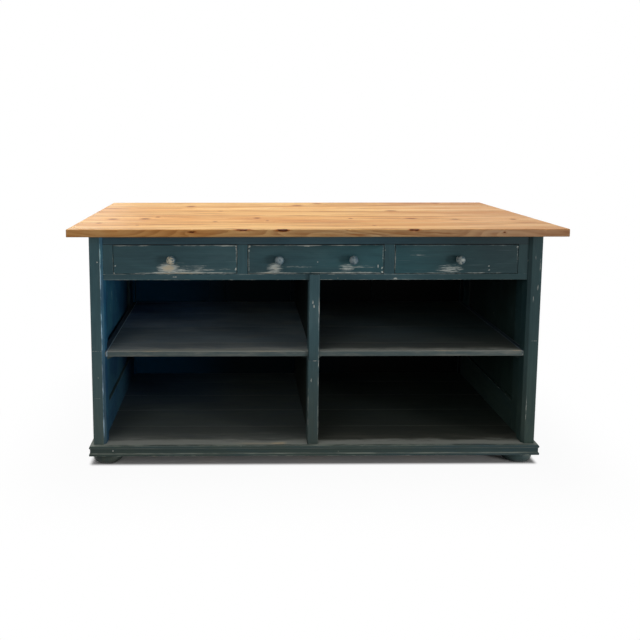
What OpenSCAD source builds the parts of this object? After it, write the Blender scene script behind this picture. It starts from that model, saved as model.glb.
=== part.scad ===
// Kitchen island: a pine plank worktop on a painted carcase with three
// drawers over four open bays, a moulded plinth and bun feet.
// Millimetres. The origin is on the floor under the middle of the worktop.
// +Z is up and +X is to the right; the drawers face -Y and open that way.

/* [Overall] */
// Width of the worktop, left to right
overall_w = 1770; // [1450:10:2200]
// Depth of the worktop, front to back
overall_d = 850; // [700:10:1050]
// Height from the floor to the face of the worktop
overall_h = 900; // [740:5:1080]

/* [Worktop] */
// Thickness of the worktop boards
top_t = 28; // [20:1:40]
// Overhang of the worktop past the carcase at each end
top_over_end = 65; // [20:1:120]
// Overhang of the worktop past the carcase at front and back
top_over_front = 55; // [20:1:120]
// Radius on the long edges of the worktop
top_edge_r = 3; // [1:0.5:8]

/* [Corner posts and side frames] */
// Width and depth of each square corner post
post_w = 48; // [36:1:70]
// How far the posts stand proud of the front and back frames, as the chamfer
post_proud = 10; // [4:1:16]
// Thickness of the side frames
side_t = 36; // [24:1:46]
// Width of the side stile behind each post
stile_w = 76; // [50:1:110]
// Height of the bottom rail of the side and back frames
bottom_rail_h = 113; // [60:1:160]
// Thickness of the panels let into the side frames
side_panel_t = 14; // [8:1:18]

/* [Back frame] */
// Thickness of the back frame
back_t = 30; // [22:1:38]
// Thickness of the panels let into the back frame
back_panel_t = 12; // [8:1:16]
// Width of the three upright muntins in the back
back_muntin_w = 70; // [40:1:110]

/* [Front frame] */
// Height of the rail under the worktop
top_rail_h = 38; // [24:1:60]
// Thickness of the top rail, muntins and end fillers
frame_t = 22; // [16:1:30]
// Height of the rail under the drawers
drawer_rail_h = 22; // [18:1:32]
// Depth of the rail under the drawers, front to back
drawer_rail_d = 60; // [50:1:90]
// Width of the filler between each post and the outer drawer
filler_w = 36; // [20:1:60]
// Width of each muntin between two drawers
muntin_w = 38; // [24:1:60]

/* [Drawers] */
// Height of the drawer openings
drawer_h = 108; // [86:1:150]
// Width of the middle drawer opening
mid_open_w = 496; // [380:1:640]
// Running gap round each drawer front
drawer_gap = 2; // [1:0.1:3]
// Gap under the drawer sides, where they slide on the runners
slide_gap = 0.3; // [0.2:0.1:1]
// Thickness of the drawer fronts
front_t = 22; // [18:1:28]
// Thickness of the drawer sides and backs
drawer_side_t = 14; // [10:1:18]
// How much lower the drawer sides are than the drawer openings
side_drop = 16; // [14:1:30]
// Thickness of the drawer bottoms
drawer_bottom_t = 6; // [4:0.5:9]
// Height of the drawer bottom above the lower edge of the sides
bottom_lift = 10; // [8:1:14]
// Space left behind the closed drawers
drawer_back_gap = 50; // [10:5:120]
// How much of a drawer stays inside when it is pulled out to its stops
drawer_engage = 180; // [100:5:300]
// Depth of the runner under each drawer side, measured across the drawer
runner_rest = 18; // [15:1:30]
// Thickness of the kickers over the drawers, which also carry the worktop
kicker_t = 30; // [20:1:30]
// Height of the guide strips beside the drawers
guide_h = 30; // [15:1:45]

/* [Knobs] */
// Radius of a knob at its widest
knob_r = 16.5; // [12:0.5:22]
// How far a knob stands out of the drawer front
knob_proj = 31; // [24:0.5:45]
// Radius of the flange where a knob meets the drawer front
knob_base_r = 11.5; // [9:0.5:15]
// Distance of the middle drawer's knobs from the middle of the island
knob_pair_x = 134; // [80:1:180]
// How far the left drawer's knob sits off the middle of its drawer
left_knob_shift = -13; // [-25:1:25]
// How far the right drawer's knob sits off the middle of its drawer
right_knob_shift = 9; // [-25:1:25]

/* [Divider and shelves] */
// Distance of the divider from the middle, towards +X
divider_x = -5; // [-60:1:60]
// Width of the post at the front of the divider
divider_post_w = 39; // [30:1:60]
// Chamfer on the right front edge of the divider post; the left one has half of it
divider_chamfer = 4.5; // [1:0.5:6]
// How much wider the lower length of the divider post is than the upper one
divider_step = 1.5; // [0:0.5:4]
// Thickness of the divider boards
divider_t = 20; // [16:1:26]
// Height of the upper face of the shelves above the floor
shelf_z = 437; // [340:1:540]
// Thickness of the shelf boards
shelf_t = 20; // [16:1:28]
// Width of the strip that finishes the outer end of each shelf
shelf_strip_w = 20; // [15:1:40]
// Width of the bearers under the ends of the shelves
bearer_w = 28; // [20:1:40]
// Height of the bearers under the ends of the shelves
bearer_h = 24; // [16:1:40]

/* [Base] */
// Thickness of the base boards
base_t = 22; // [18:1:28]
// Height of the moulded plinth
plinth_h = 38; // [34:1:60]
// Thickness of the plinth at its lips
plinth_out = 14; // [9:1:22]
// How far the flat of the plinth sits back from its lips
plinth_cove = 3; // [2:0.5:5]
// Height of the rounded lip along the top of the plinth
plinth_top_lip = 9; // [4:0.5:11]
// Height of the lip along the bottom of the plinth
plinth_bottom_lip = 9; // [7:0.5:14]
// Height of the bun feet below the plinth
foot_h = 46; // [30:1:90]
// Radius of the bun feet at their widest
foot_r = 58; // [40:1:60]
// Distance from the end of the carcase to the middle of a foot
foot_inset_x = 44; // [44:1:120]
// Distance from the front or back of the carcase to the middle of a foot
foot_inset_y = 60; // [50:1:120]

/* [Joints] */
// Clearance left round tenons, tongues and panels in their slots
joint_gap = 0.2; // [0.1:0.05:0.4]
// Length of the tenons on the rails
tenon_l = 26; // [16:1:34]
// Length of the short tenons on muntins, runners and kickers
stub_l = 11; // [6:1:14]
// Depth of the tongues on the boards
tongue_d = 7; // [4:0.5:10]
// Thickness of the tongues on the boards
tongue_t = 6; // [4:0.5:8]
// Gap between neighbouring boards of the shelves, divider and base
board_gap = 0.3; // [0.2:0.1:1.5]
// How deep a panel reaches into its groove
panel_seat = 9; // [6:0.5:12]
// Radius of the worktop screws along the shank
screw_r = 2; // [1.5:0.25:3]
// Wood left over the tips of the screws that hold the worktop
screw_cover = 12; // [6:1:18]

/* [Hidden] */
$fn = 64;

pine = [0.78, 0.57, 0.36];
paint = [0.17, 0.24, 0.27];
bare = [0.70, 0.56, 0.40];
steel = [0.55, 0.55, 0.55];

// Carcase
half_w = overall_w / 2 - top_over_end;
half_d = overall_d / 2 - top_over_front;
carc_top = overall_h - top_t;
base_top = foot_h + plinth_h;
post_in = half_w - post_w;
side_in = half_w - side_t;
face_y = half_d - post_proud;
frame_in_y = face_y - frame_t;
back_in_y = face_y - back_t;
stile_y = half_d - post_w - stile_w;
side_mid = half_w - side_t / 2;
back_mid = face_y - back_t / 2;
panel_z0 = base_top + bottom_rail_h;

// Drawer zone, from the top down
open_z1 = carc_top - top_rail_h;
open_z0 = open_z1 - drawer_h;
rail_z0 = open_z0 - drawer_rail_h;
// Grooves for the side and back panels run this high in the stiles and posts
panel_slot_z = [panel_z0 - panel_seat - 1, rail_z0 + panel_seat + 1];
open_x = post_in - filler_w;
mid_x = mid_open_w / 2;
muntin_x = mid_x + muntin_w;
side_z0 = open_z0 + slide_gap;
side_z1 = side_z0 + drawer_h - side_drop;
bottom_z = side_z0 + bottom_lift;
back_z0 = bottom_z + drawer_bottom_t + joint_gap;
catch_h = min(8, (open_z1 - drawer_gap - side_z1) / 2);
back_z1 = side_z1 + catch_h;
drawer_y0 = -face_y;
drawer_y1 = back_in_y - drawer_back_gap;
drawer_travel = drawer_y1 - drawer_y0 - drawer_engage;
front_in = drawer_y0 + front_t;
kicker_z = carc_top - kicker_t;
knob_z = (open_z0 + open_z1) / 2;
// Each drawer: its two ends across the island and where its knobs are
left_span = [-open_x, -muntin_x];
mid_span = [-mid_x, mid_x];
right_span = [muntin_x, open_x];
left_knobs = [-(open_x + muntin_x) / 2 + left_knob_shift];
mid_knobs = [-knob_pair_x, knob_pair_x];
right_knobs = [(open_x + muntin_x) / 2 + right_knob_shift];
// Ends of the runners and kickers across the island
rest_spans = [[-side_in, -open_x + runner_rest],
    [-muntin_x - runner_rest, -mid_x + runner_rest],
    [mid_x - runner_rest, muntin_x + runner_rest],
    [open_x - runner_rest, side_in]];
guide_spans = [[-side_in, -open_x], [-muntin_x, -mid_x], [mid_x, muntin_x], [open_x, side_in]];
// Ends of the fillers and muntins between the drawers
front_spans = [[-post_in, -open_x], [-muntin_x, -mid_x], [mid_x, muntin_x], [open_x, post_in]];
// Middles of the uprights in the back frame
back_muntin_x = [-post_in / 2, 0, post_in / 2];

// Dovetails: share of each pitch that is tail, at the shoulder and at the tip
tail_root = 0.46;
tail_tip = 0.62;
front_tails = 3;
back_tails = 2;

// Rows of boards
n_top = 5;
n_base = 5;
n_shelf = 4;
n_divider = 5;
batten_w = 72;
end_batten_w = 100;
strip_y1 = back_in_y - 2;
shelf_front_w = 95;
shelf_edge_r = 3;
shelf_y0 = -face_y;
shelf_z0 = shelf_z - shelf_t;
// Where the two lengths of the divider post butt
divider_joint_z = shelf_z0 - 14;

// Depth to which runners and kickers are let into the back rail
housing = (back_t - back_panel_t) / 2 - 1.5;
rail_in_y = -face_y + drawer_rail_d;
// Top of the divider boards
divider_z1 = rail_z0 - 3;
// Depth of the groove for a drawer bottom
groove_d = min(6, drawer_side_t / 2);

// Bun feet
bun_r = foot_h / 2 - 0.5;
collar_r = foot_r - 14;
collar_h = 4;
spigot_r = 15;
batten_t = plinth_h - base_t;

// Screws
head_r = 2.2 * screw_r;
head_h = 1.4 * screw_r;
top_screw_l = kicker_t + top_t - screw_cover;
knob_screw_l = front_t + 14;

// The two values at a distance on each side of a middle one
function about(middle, half) = [middle - half, middle + half];

// A block between two values on each axis
module block(x, y, z) {
    translate([x[0], y[0], z[0]])
        cube([x[1] - x[0], y[1] - y[0], z[1] - z[0]]);
}

// Extrudes an outline drawn in Y and Z along X
module along_x(x) {
    translate([x[0], 0, 0])
        rotate([90, 0, 90])
            linear_extrude(x[1] - x[0])
                children();
}

// Extrudes an outline drawn in X and Y upwards
module upright(z) {
    translate([0, 0, z[0]])
        linear_extrude(z[1] - z[0])
            children();
}

// Two copies, one mirrored to the other side of the island
module both_ends() {
    children();
    mirror([1, 0, 0])
        children();
}

// Section of a board in a row: a tongue on its low edge, a groove on its high one
module board_section(w, t, tongue, groove) {
    difference() {
        union() {
            square([w, t]);
            if (tongue)
                translate([-tongue_d, (t - tongue_t) / 2])
                    square([tongue_d + w / 2, tongue_t]);
        }
        if (groove)
            translate([w - tongue_d - joint_gap, (t - tongue_t) / 2 - joint_gap])
                square([tongue_d + 1, tongue_t + 2 * joint_gap]);
    }
}

// Cuts a rounded edge on the low side of a board section
module round_low_edge(t, r) {
    difference() {
        children();
        translate([-1, -1])
            square([1 + r, 1 + r]);
        translate([-1, t - r])
            square([1 + r, 1 + r]);
    }
    translate([r, r])
        circle(r);
    translate([r, t - r])
        circle(r);
}

// The same on the high side of a section of width w
module round_high_edge(w, t, r) {
    translate([w, 0])
        mirror([1, 0])
            round_low_edge(t, r)
                translate([w, 0])
                    mirror([1, 0])
                        children();
}

// ---- Worktop ----

// One of the worktop boards, counted from the front
module top_board(i) {
    w = overall_d / n_top;
    color(pine)
        difference() {
            along_x(about(0, overall_w / 2))
                translate([-overall_d / 2 + i * w, carc_top])
                    if (i == 0)
                        round_low_edge(top_t, top_edge_r)
                            board_section(w, top_t, false, true);
                    else if (i == n_top - 1)
                        round_high_edge(w, top_t, top_edge_r)
                            board_section(w, top_t, true, false);
                    else
                        board_section(w, top_t, true, true);
            at_top_screws([i])
                wood_screw(top_screw_l, joint_gap / 2);
        }
}

// Worktop screws go up through each kicker, one into each board
function screw_y(i) = max(-frame_in_y + 24,
    min(back_in_y - 24, -overall_d / 2 + (i + 0.5) * overall_d / n_top));

module at_top_screws(boards) {
    for (s = rest_spans, i = boards)
        translate([(s[0] + s[1]) / 2, screw_y(i), kicker_z])
            children();
}

// The slot across a screw head whose face is at height z
module screw_slot(z) {
    block(about(0, head_r + 1), about(0, 0.5), [z - 1, z + 1]);
}

// A countersunk screw that points up, or with a gap its hole
module wood_screw(l, gap) {
    difference() {
        rotate_extrude()
            polygon([[0, -gap], [head_r + gap, -gap], [head_r + gap, 0.4],
                [screw_r + gap, head_h + 0.4], [screw_r + gap, l - 2 * screw_r],
                [0, l + gap]]);
        if (gap == 0)
            screw_slot(0);
    }
}

module top_screws() {
    color(steel)
        at_top_screws([0 : n_top - 1])
            wood_screw(top_screw_l, 0);
}

// ---- Corner posts ----

// The corner post of the left front, before its joints are cut
module post_blank() {
    ease = 2;
    upright([base_top, carc_top])
        polygon([[-half_w + ease, -half_d], [-post_in - post_proud, -half_d],
            [-post_in, -face_y], [-post_in, -half_d + post_w],
            [-half_w, -half_d + post_w], [-half_w, -half_d + ease]]);
    post_foot(0);
}

// The stub that seats a post in the base boards, or with a gap its socket
module post_foot(gap) {
    s = post_w / 4 + gap;
    translate([-half_w + post_w / 2, -half_d + post_w / 2, base_top - stub_l - gap])
        translate([-s, -s, 0])
            cube([2 * s, 2 * s, stub_l + gap + (gap > 0 ? 1 : 0.01)]);
}

module post_feet_sockets() {
    for (a = [0, 1], b = [0, 1])
        mirror([a, 0, 0])
            mirror([0, b, 0])
                post_foot(joint_gap);
}

// The room the four posts take up, which runners, kickers and shelves are notched for
module post_space() {
    for (a = [0, 1], b = [0, 1])
        mirror([a, 0, 0])
            mirror([0, b, 0])
                block([-half_w - 1, -post_in + joint_gap], [-half_d - 1, -half_d + post_w + joint_gap],
                    [base_top, carc_top + 1]);
}

module post_front_left() {
    color(paint)
        difference() {
            post_blank();
            front_rail_tenon(joint_gap);
            drawer_rail_tenon(joint_gap);
        }
}

module post_front_right() {
    mirror([1, 0, 0])
        post_front_left();
}

module post_back_left() {
    color(paint)
        difference() {
            mirror([0, 1, 0])
                post_blank();
            back_rail_tenons(joint_gap);
            // groove for the end panel of the back
            block([-post_in - panel_seat - 1, -post_in + 1],
                about(back_mid, back_panel_t / 2 + joint_gap), panel_slot_z);
        }
}

module post_back_right() {
    mirror([1, 0, 0])
        post_back_left();
}

// ---- Side frames ----

module side_groove(y, z) {
    block([-side_mid - side_panel_t / 2 - joint_gap, -side_mid + side_panel_t / 2 + joint_gap], y, z);
}

// Tenons of the left side rails, which reach into the stiles at both ends
module side_tenon(z, gap) {
    for (b = [0, 1])
        mirror([0, b, 0])
            block(about(-side_mid, side_panel_t / 2 + gap),
                [-stile_y - tenon_l - gap, -stile_y + (gap > 0 ? 1 : 0.01)],
                [z[0] + 12 - gap, z[1] - 12 + gap]);
}

module left_side_stiles() {
    color(paint)
        for (b = [0, 1])
            mirror([0, b, 0])
                difference() {
                    block([-half_w, -side_in], [-half_d + post_w, -stile_y], [base_top, carc_top]);
                    side_groove([-stile_y - panel_seat - 1, -stile_y + 1], panel_slot_z);
                    side_tenon([base_top, panel_z0], joint_gap);
                    side_tenon([rail_z0, carc_top], joint_gap);
                }
}

module side_rail(z, groove_z) {
    difference() {
        union() {
            block([-half_w, -side_in], [-stile_y, stile_y], z);
            side_tenon(z, 0);
        }
        side_groove([-stile_y, stile_y], groove_z);
    }
}

module left_side_rails() {
    color(paint) {
        side_rail([base_top, panel_z0], [panel_z0 - panel_seat - 1, panel_z0 + 1]);
        side_rail([rail_z0, carc_top], [rail_z0 - 1, rail_z0 + panel_seat + 1]);
    }
}

module left_side_panel() {
    color(paint)
        block(about(-side_mid, side_panel_t / 2), about(0, stile_y + panel_seat),
            [panel_z0 - panel_seat, rail_z0 + panel_seat]);
}

module right_side_stiles() {
    mirror([1, 0, 0])
        left_side_stiles();
}

module right_side_rails() {
    mirror([1, 0, 0])
        left_side_rails();
}

module right_side_panel() {
    mirror([1, 0, 0])
        left_side_panel();
}

// ---- Back frame ----

module back_rail_tenon(z, gap) {
    both_ends()
        block([post_in - (gap > 0 ? 1 : 0.01), post_in + tenon_l + gap],
            about(back_mid, back_panel_t / 2 + gap),
            [z[0] + 12 - gap, z[1] - 12 + gap]);
}

module back_rail_tenons(gap) {
    back_rail_tenon([base_top, panel_z0], gap);
    back_rail_tenon([rail_z0, carc_top], gap);
}

module back_groove(x, z) {
    block(x, about(back_mid, back_panel_t / 2 + joint_gap), z);
}

// Stub tenons at both ends of the back muntins
module back_muntin_stub(x, gap) {
    block(about(x, back_muntin_w / 2 - 12 + gap),
        about(back_mid, back_panel_t / 2 + gap),
        [panel_z0 - stub_l - gap, rail_z0 + stub_l + gap]);
}

module back_rail(z, groove_z) {
    difference() {
        union() {
            block(about(0, post_in), [back_in_y, face_y], z);
            back_rail_tenon(z, 0);
        }
        back_groove(about(0, post_in), groove_z);
        for (x = back_muntin_x)
            back_muntin_stub(x, joint_gap);
        rest_stubs(joint_gap);
    }
}

module back_rails() {
    color(paint) {
        back_rail([base_top, panel_z0], [panel_z0 - panel_seat - 1, panel_z0 + 1]);
        back_rail([rail_z0, carc_top], [rail_z0 - 1, rail_z0 + panel_seat + 1]);
    }
}

module back_muntins() {
    color(paint)
        for (x = back_muntin_x)
            difference() {
                union() {
                    block(about(x, back_muntin_w / 2), [back_in_y, face_y], [panel_z0, rail_z0]);
                    back_muntin_stub(x, 0);
                }
                for (s = [-1, 1])
                    translate([x + s * (back_muntin_w / 2 - panel_seat / 2), back_mid, 0])
                        translate([-panel_seat / 2 - 1, -back_panel_t / 2 - joint_gap,
                                panel_z0 - stub_l - 1])
                            cube([panel_seat + 2, back_panel_t + 2 * joint_gap,
                                rail_z0 - panel_z0 + 2 * stub_l + 2]);
            }
}

module back_panels() {
    edges = concat([-post_in - back_muntin_w / 2], back_muntin_x, [post_in + back_muntin_w / 2]);
    color(paint)
        for (i = [0 : 3])
            block([edges[i], edges[i + 1]] + (back_muntin_w / 2 - panel_seat) * [1, -1],
                about(back_mid, back_panel_t / 2),
                [panel_z0 - panel_seat, rail_z0 + panel_seat]);
}

// ---- Front frame ----

// Short tenons of a muntin or filler, into the rails above and below it
module front_stub(span, gap) {
    block(span + [8 - gap, gap - 8], about(-face_y + frame_t / 2, frame_t / 4 + gap),
        [open_z0 - stub_l - gap, open_z1 + stub_l + gap]);
}

module front_uprights() {
    color(paint)
        for (s = front_spans) {
            block(s, [-face_y, -frame_in_y], [open_z0, open_z1]);
            front_stub(s, 0);
        }
}

module front_rail_tenon(gap) {
    both_ends()
        block([-post_in - tenon_l - gap, -post_in + (gap > 0 ? 1 : 0.01)],
            about(-face_y + frame_t / 2, frame_t / 4 + gap),
            [open_z1 + 7 - gap, carc_top - 7 + gap]);
}

module front_top_rail() {
    color(paint)
        difference() {
            union() {
                block(about(0, post_in), [-face_y, -frame_in_y], [open_z1, carc_top]);
                front_rail_tenon(0);
            }
            for (s = front_spans)
                front_stub(s, joint_gap);
            for (s = rest_spans)
                kicker_stub(s, joint_gap);
        }
}

module drawer_rail_tenon(gap) {
    both_ends()
        block([-post_in - tenon_l - gap, -post_in + (gap > 0 ? 1 : 0.01)],
            [-face_y + 8 - gap, -half_d + post_w - 10 + gap],
            [rail_z0 + 5 - gap, open_z0 - 5 + gap]);
}

module drawer_rail() {
    color(paint)
        difference() {
            union() {
                block(about(0, post_in), [-face_y, rail_in_y], [rail_z0, open_z0]);
                drawer_rail_tenon(0);
            }
            for (s = front_spans)
                front_stub(s, joint_gap);
            for (s = rest_spans)
                runner_stub(s, joint_gap);
            head_stub(joint_gap);
        }
}

// ---- Runners, kickers and stops ----

// Ends of the runners and kickers that are let into the rails
module runner_stub(span, gap) {
    for (y = [[rail_in_y - stub_l - gap, rail_in_y + 1], [back_in_y - 1, back_in_y + housing + gap]])
        block(span + [8 - gap, gap - 8], y, [open_z0 - 11 - gap, open_z0 - 4 + gap]);
}

module kicker_stub(span, gap) {
    for (y = [[-frame_in_y - stub_l - gap, -frame_in_y + 1], [back_in_y - 1, back_in_y + housing + gap]])
        block(span + [8 - gap, gap - 8], y, [kicker_z + 8 - gap, carc_top - 8 + gap]);
}

module rest_stubs(gap) {
    for (s = rest_spans) {
        runner_stub(s, gap);
        kicker_stub(s, gap);
    }
}

// Runners that carry the drawer sides, each with a guide strip glued on top
module drawer_runners() {
    color(bare)
        difference() {
            union() {
                for (s = rest_spans) {
                    block(s, [rail_in_y, back_in_y], [rail_z0, open_z0]);
                    runner_stub(s, 0);
                }
                for (s = guide_spans)
                    block(s, [-frame_in_y, back_in_y], [open_z0 + joint_gap, open_z0 + guide_h]);
            }
            post_space();
        }
}

module kickers() {
    color(bare)
        difference() {
            for (s = rest_spans) {
                block(s, [-frame_in_y, back_in_y], [kicker_z, carc_top]);
                kicker_stub(s, 0);
            }
            post_space();
            at_top_screws([0 : n_top - 1])
                wood_screw(top_screw_l, joint_gap / 2);
        }
}

// Two blocks behind each drawer front stop it flush with the frame; two under
// the kickers catch its raised back edge when it is pulled out
module drawer_stops() {
    catch_y = drawer_y1 - drawer_side_t - drawer_travel - 0.5;
    color(bare)
        for (d = [left_span, mid_span, right_span]) {
            for (k = [0.25, 0.75])
                block(about(d[0] + (d[1] - d[0]) * k, 30),
                    [front_in + slide_gap, front_in + 20], [open_z0, bottom_z - 3]);
            for (x = [[d[0] + 3, d[0] + runner_rest - 2], [d[1] - runner_rest + 2, d[1] - 3]])
                block(x, [catch_y - 20, catch_y], [side_z1 + 2, kicker_z]);
        }
}

// ---- Divider ----

// One length of the divider post, widened towards -X by a step
module divider_length(z, step) {
    left = -divider_post_w / 2 - step;
    right = divider_post_w / 2;
    c = divider_chamfer;
    upright(z)
        translate([divider_x, -half_d])
            polygon([[left + c / 2, 0], [right - c, 0], [right, c], [right, post_w],
                [left, post_w], [left, c / 2]]);
}

// The divider post is in two lengths, which butt just under the shelves
module divider_post() {
    color(paint)
        difference() {
            union() {
                divider_length([base_top, divider_joint_z - board_gap], divider_step);
                divider_length([divider_joint_z, open_z0], 0);
            }
            // the top laps over the face of the drawer rail
            block(about(divider_x, divider_post_w / 2 + 1), [-face_y, -half_d + post_w + 1],
                [rail_z0, open_z0 + 1]);
            block(about(divider_x, tongue_t / 2 + joint_gap),
                [-half_d + post_w - tongue_d - joint_gap, -half_d + post_w + 1],
                [base_top - 1, divider_z1 + joint_gap]);
        }
}

module head_stub(gap) {
    block(about(divider_x, divider_t / 2 + gap), [rail_in_y - stub_l - gap, rail_in_y + 1],
        [rail_z0 + 4 - gap, rail_z0 + 12 + gap]);
}

// The rail over the divider boards, grooved underneath for them
module divider_head() {
    color(bare)
        difference() {
            union() {
                block(about(divider_x, divider_t / 2 + 12), [rail_in_y, back_in_y],
                    [divider_z1 - 11, open_z0 - 6]);
                head_stub(0);
            }
            block(about(divider_x, divider_t / 2 + joint_gap), [rail_in_y - 1, back_in_y + 1],
                [divider_z1 - 12, divider_z1 + 1]);
        }
}

module divider_boards() {
    y0 = -half_d + post_w;
    w = (back_in_y - y0) / n_divider;
    color(paint)
        for (i = [0 : n_divider - 1])
            upright([base_top, divider_z1])
                translate([divider_x + divider_t / 2, y0 + i * w])
                    rotate(90)
                        board_section(w - board_gap, divider_t, true, i < n_divider - 1);
}

// ---- Shelves ----

// The boards of one shelf between two ends; the first is the narrow front one
module shelf_boards(ends) {
    rest = (strip_y1 - shelf_y0 - shelf_front_w) / (n_shelf - 1);
    color(paint)
        difference() {
            along_x(ends)
                translate([shelf_y0, shelf_z0]) {
                    round_low_edge(shelf_t, shelf_edge_r)
                        board_section(shelf_front_w - board_gap, shelf_t, false, true);
                    for (i = [1 : n_shelf - 1])
                        translate([shelf_front_w + (i - 1) * rest, 0])
                            board_section(rest - board_gap, shelf_t, true, i < n_shelf - 1);
                }
            // notches round the divider post and the corner posts
            block(about(divider_x, divider_post_w / 2 + joint_gap),
                [-half_d - 1, -half_d + post_w + joint_gap], [shelf_z0 - 1, shelf_z + 1]);
            post_space();
        }
}

module left_shelf_boards() {
    shelf_boards([-side_in + shelf_strip_w, divider_x - divider_t / 2]);
}

module right_shelf_boards() {
    shelf_boards([divider_x + divider_t / 2, side_in - shelf_strip_w]);
}

// Strips that close the outer ends of the shelves, notched round the front posts
module shelf_end_strips() {
    color(paint)
        both_ends()
            difference() {
                along_x([-side_in, -side_in + shelf_strip_w - board_gap])
                    translate([shelf_y0, shelf_z0])
                        round_low_edge(shelf_t, shelf_edge_r)
                            square([half_d - post_w - joint_gap - shelf_y0, shelf_t]);
                post_space();
            }
}

// One bearer with its front end splayed back on the open side
module bearer(w) {
    upright([shelf_z0 - bearer_h, shelf_z0])
        polygon([[0, -half_d + post_w], [w / 3, -half_d + post_w], [w, -half_d + post_w + w],
            [w, half_d - post_w - joint_gap], [0, half_d - post_w - joint_gap]]);
}

module shelf_bearers() {
    color(paint) {
        both_ends()
            translate([-side_in, 0, 0])
                bearer(bearer_w);
        translate([divider_x + divider_t / 2, 0, 0])
            bearer(bearer_w);
        translate([divider_x - divider_t / 2, 0, 0])
            mirror([1, 0, 0])
                bearer(bearer_w);
    }
}

// ---- Base, plinth and feet ----

module base_boards() {
    w = 2 * half_d / n_base;
    color(paint)
        difference() {
            for (i = [0 : n_base - 1])
                along_x(about(0, half_w))
                    translate([-half_d + i * w, base_top - base_t])
                        board_section(w - (i < n_base - 1 ? board_gap : 0), base_t,
                            i > 0, i < n_base - 1);
            post_feet_sockets();
        }
}

module base_battens() {
    color(bare)
        difference() {
            for (k = [-1, -0.5, 0, 0.5, 1])
                let (w = abs(k) == 1 ? end_batten_w : batten_w)
                    block(about(k * (half_w - end_batten_w / 2), w / 2), about(0, half_d),
                        [foot_h, foot_h + batten_t]);
            for (a = [-1, 1], b = [-1, 1])
                translate([a * (half_w - foot_inset_x), b * (half_d - foot_inset_y), foot_h - 1])
                    cylinder(r = spigot_r + joint_gap, h = batten_t + 2);
        }
}

// Section of the plinth, outwards and up: a stepped lip, a flat and a rounded lip
module plinth_section() {
    bead = 0.75 * plinth_top_lip;
    quarter = plinth_cove;
    square([plinth_out - plinth_cove, plinth_h]);
    square([plinth_out, plinth_bottom_lip - quarter]);
    square([plinth_out - quarter, plinth_bottom_lip]);
    translate([plinth_out - quarter, plinth_bottom_lip - quarter])
        circle(quarter);
    translate([0, plinth_h - plinth_top_lip])
        square([plinth_out - bead, plinth_top_lip]);
    translate([plinth_out - bead, plinth_h - bead])
        circle(bead);
}

// A length of plinth on the side towards -Y, mitred at both ends
module plinth_run(l, d) {
    intersection() {
        along_x(about(0, l + plinth_out))
            translate([-d, foot_h])
                mirror([1, 0])
                    plinth_section();
        upright([foot_h - 1, base_top + 1])
            polygon([[-l, -d], [-l - plinth_out, -d - plinth_out],
                [l + plinth_out, -d - plinth_out], [l, -d]]);
    }
}

module plinth_front() {
    color(paint)
        plinth_run(half_w, half_d);
}

module plinth_back() {
    color(paint)
        mirror([0, 1, 0])
            plinth_run(half_w, half_d);
}

module plinth_left() {
    color(paint)
        rotate([0, 0, -90])
            plinth_run(half_d, half_w);
}

module plinth_right() {
    color(paint)
        rotate([0, 0, 90])
            plinth_run(half_d, half_w);
}

// A turned bun foot with a collar, and a spigot let into the end batten
module foot(a, b) {
    color(paint)
        translate([a * (half_w - foot_inset_x), b * (half_d - foot_inset_y), 0])
            rotate_extrude() {
                intersection() {
                    union() {
                        translate([foot_r - bun_r, foot_h / 2])
                            circle(bun_r);
                        square([foot_r - bun_r, foot_h]);
                    }
                    square([foot_r, foot_h]);
                }
                translate([0, foot_h - collar_h])
                    square([collar_r, collar_h]);
                square([spigot_r, foot_h + batten_t - 1]);
            }
}

// ---- Drawers ----

// The tails cut on one end of a drawer side, seen from the side: l long from
// the shoulder at y, n of them between two heights
module tails(x, y, l, z, n, gap) {
    pitch = (z[1] - z[0]) / n;
    for (i = [0 : n - 1])
        along_x([x[0] - gap, x[1] + gap])
            translate([y, z[0] + (i + 0.5) * pitch])
                polygon([[-0.01 * sign(l), -tail_root / 2 * pitch - gap],
                    [l + gap * sign(l), -tail_tip / 2 * pitch - gap],
                    [l + gap * sign(l), tail_tip / 2 * pitch + gap],
                    [-0.01 * sign(l), tail_root / 2 * pitch + gap]]);
}

// Thickness of each side across the drawer, left one first
function side_spans(d) = [[d[0] + drawer_gap, d[0] + drawer_gap + drawer_side_t],
    [d[1] - drawer_gap - drawer_side_t, d[1] - drawer_gap]];

module front_dovetails(x, gap) {
    tails(x, front_in, -drawer_side_t, [side_z0, side_z1], front_tails, gap);
}

module back_dovetails(x, gap) {
    tails(x, drawer_y1 - drawer_side_t, drawer_side_t, [back_z0, side_z1], back_tails, gap);
}

// The groove for the bottom, run in the front and both sides
module bottom_groove(x, y) {
    block(x, y, [bottom_z - joint_gap, bottom_z + drawer_bottom_t + joint_gap]);
}

module at_knobs(knobs) {
    for (x = knobs)
        translate([x, 0, knob_z])
            children();
}

module drawer_front(d, knobs) {
    s = side_spans(d);
    color(paint)
        difference() {
            block(d + drawer_gap * [1, -1], [drawer_y0, front_in],
                [open_z0 + drawer_gap, open_z1 - drawer_gap]);
            front_dovetails([s[0][0] - 1, s[0][1]], joint_gap);
            front_dovetails([s[1][0], s[1][1] + 1], joint_gap);
            bottom_groove([s[0][1] - groove_d, s[1][0] + groove_d], [front_in - groove_d, front_in + 1]);
            at_knobs(knobs)
                translate([0, front_in, 0])
                    knob_screw(joint_gap / 2);
        }
}

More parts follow.
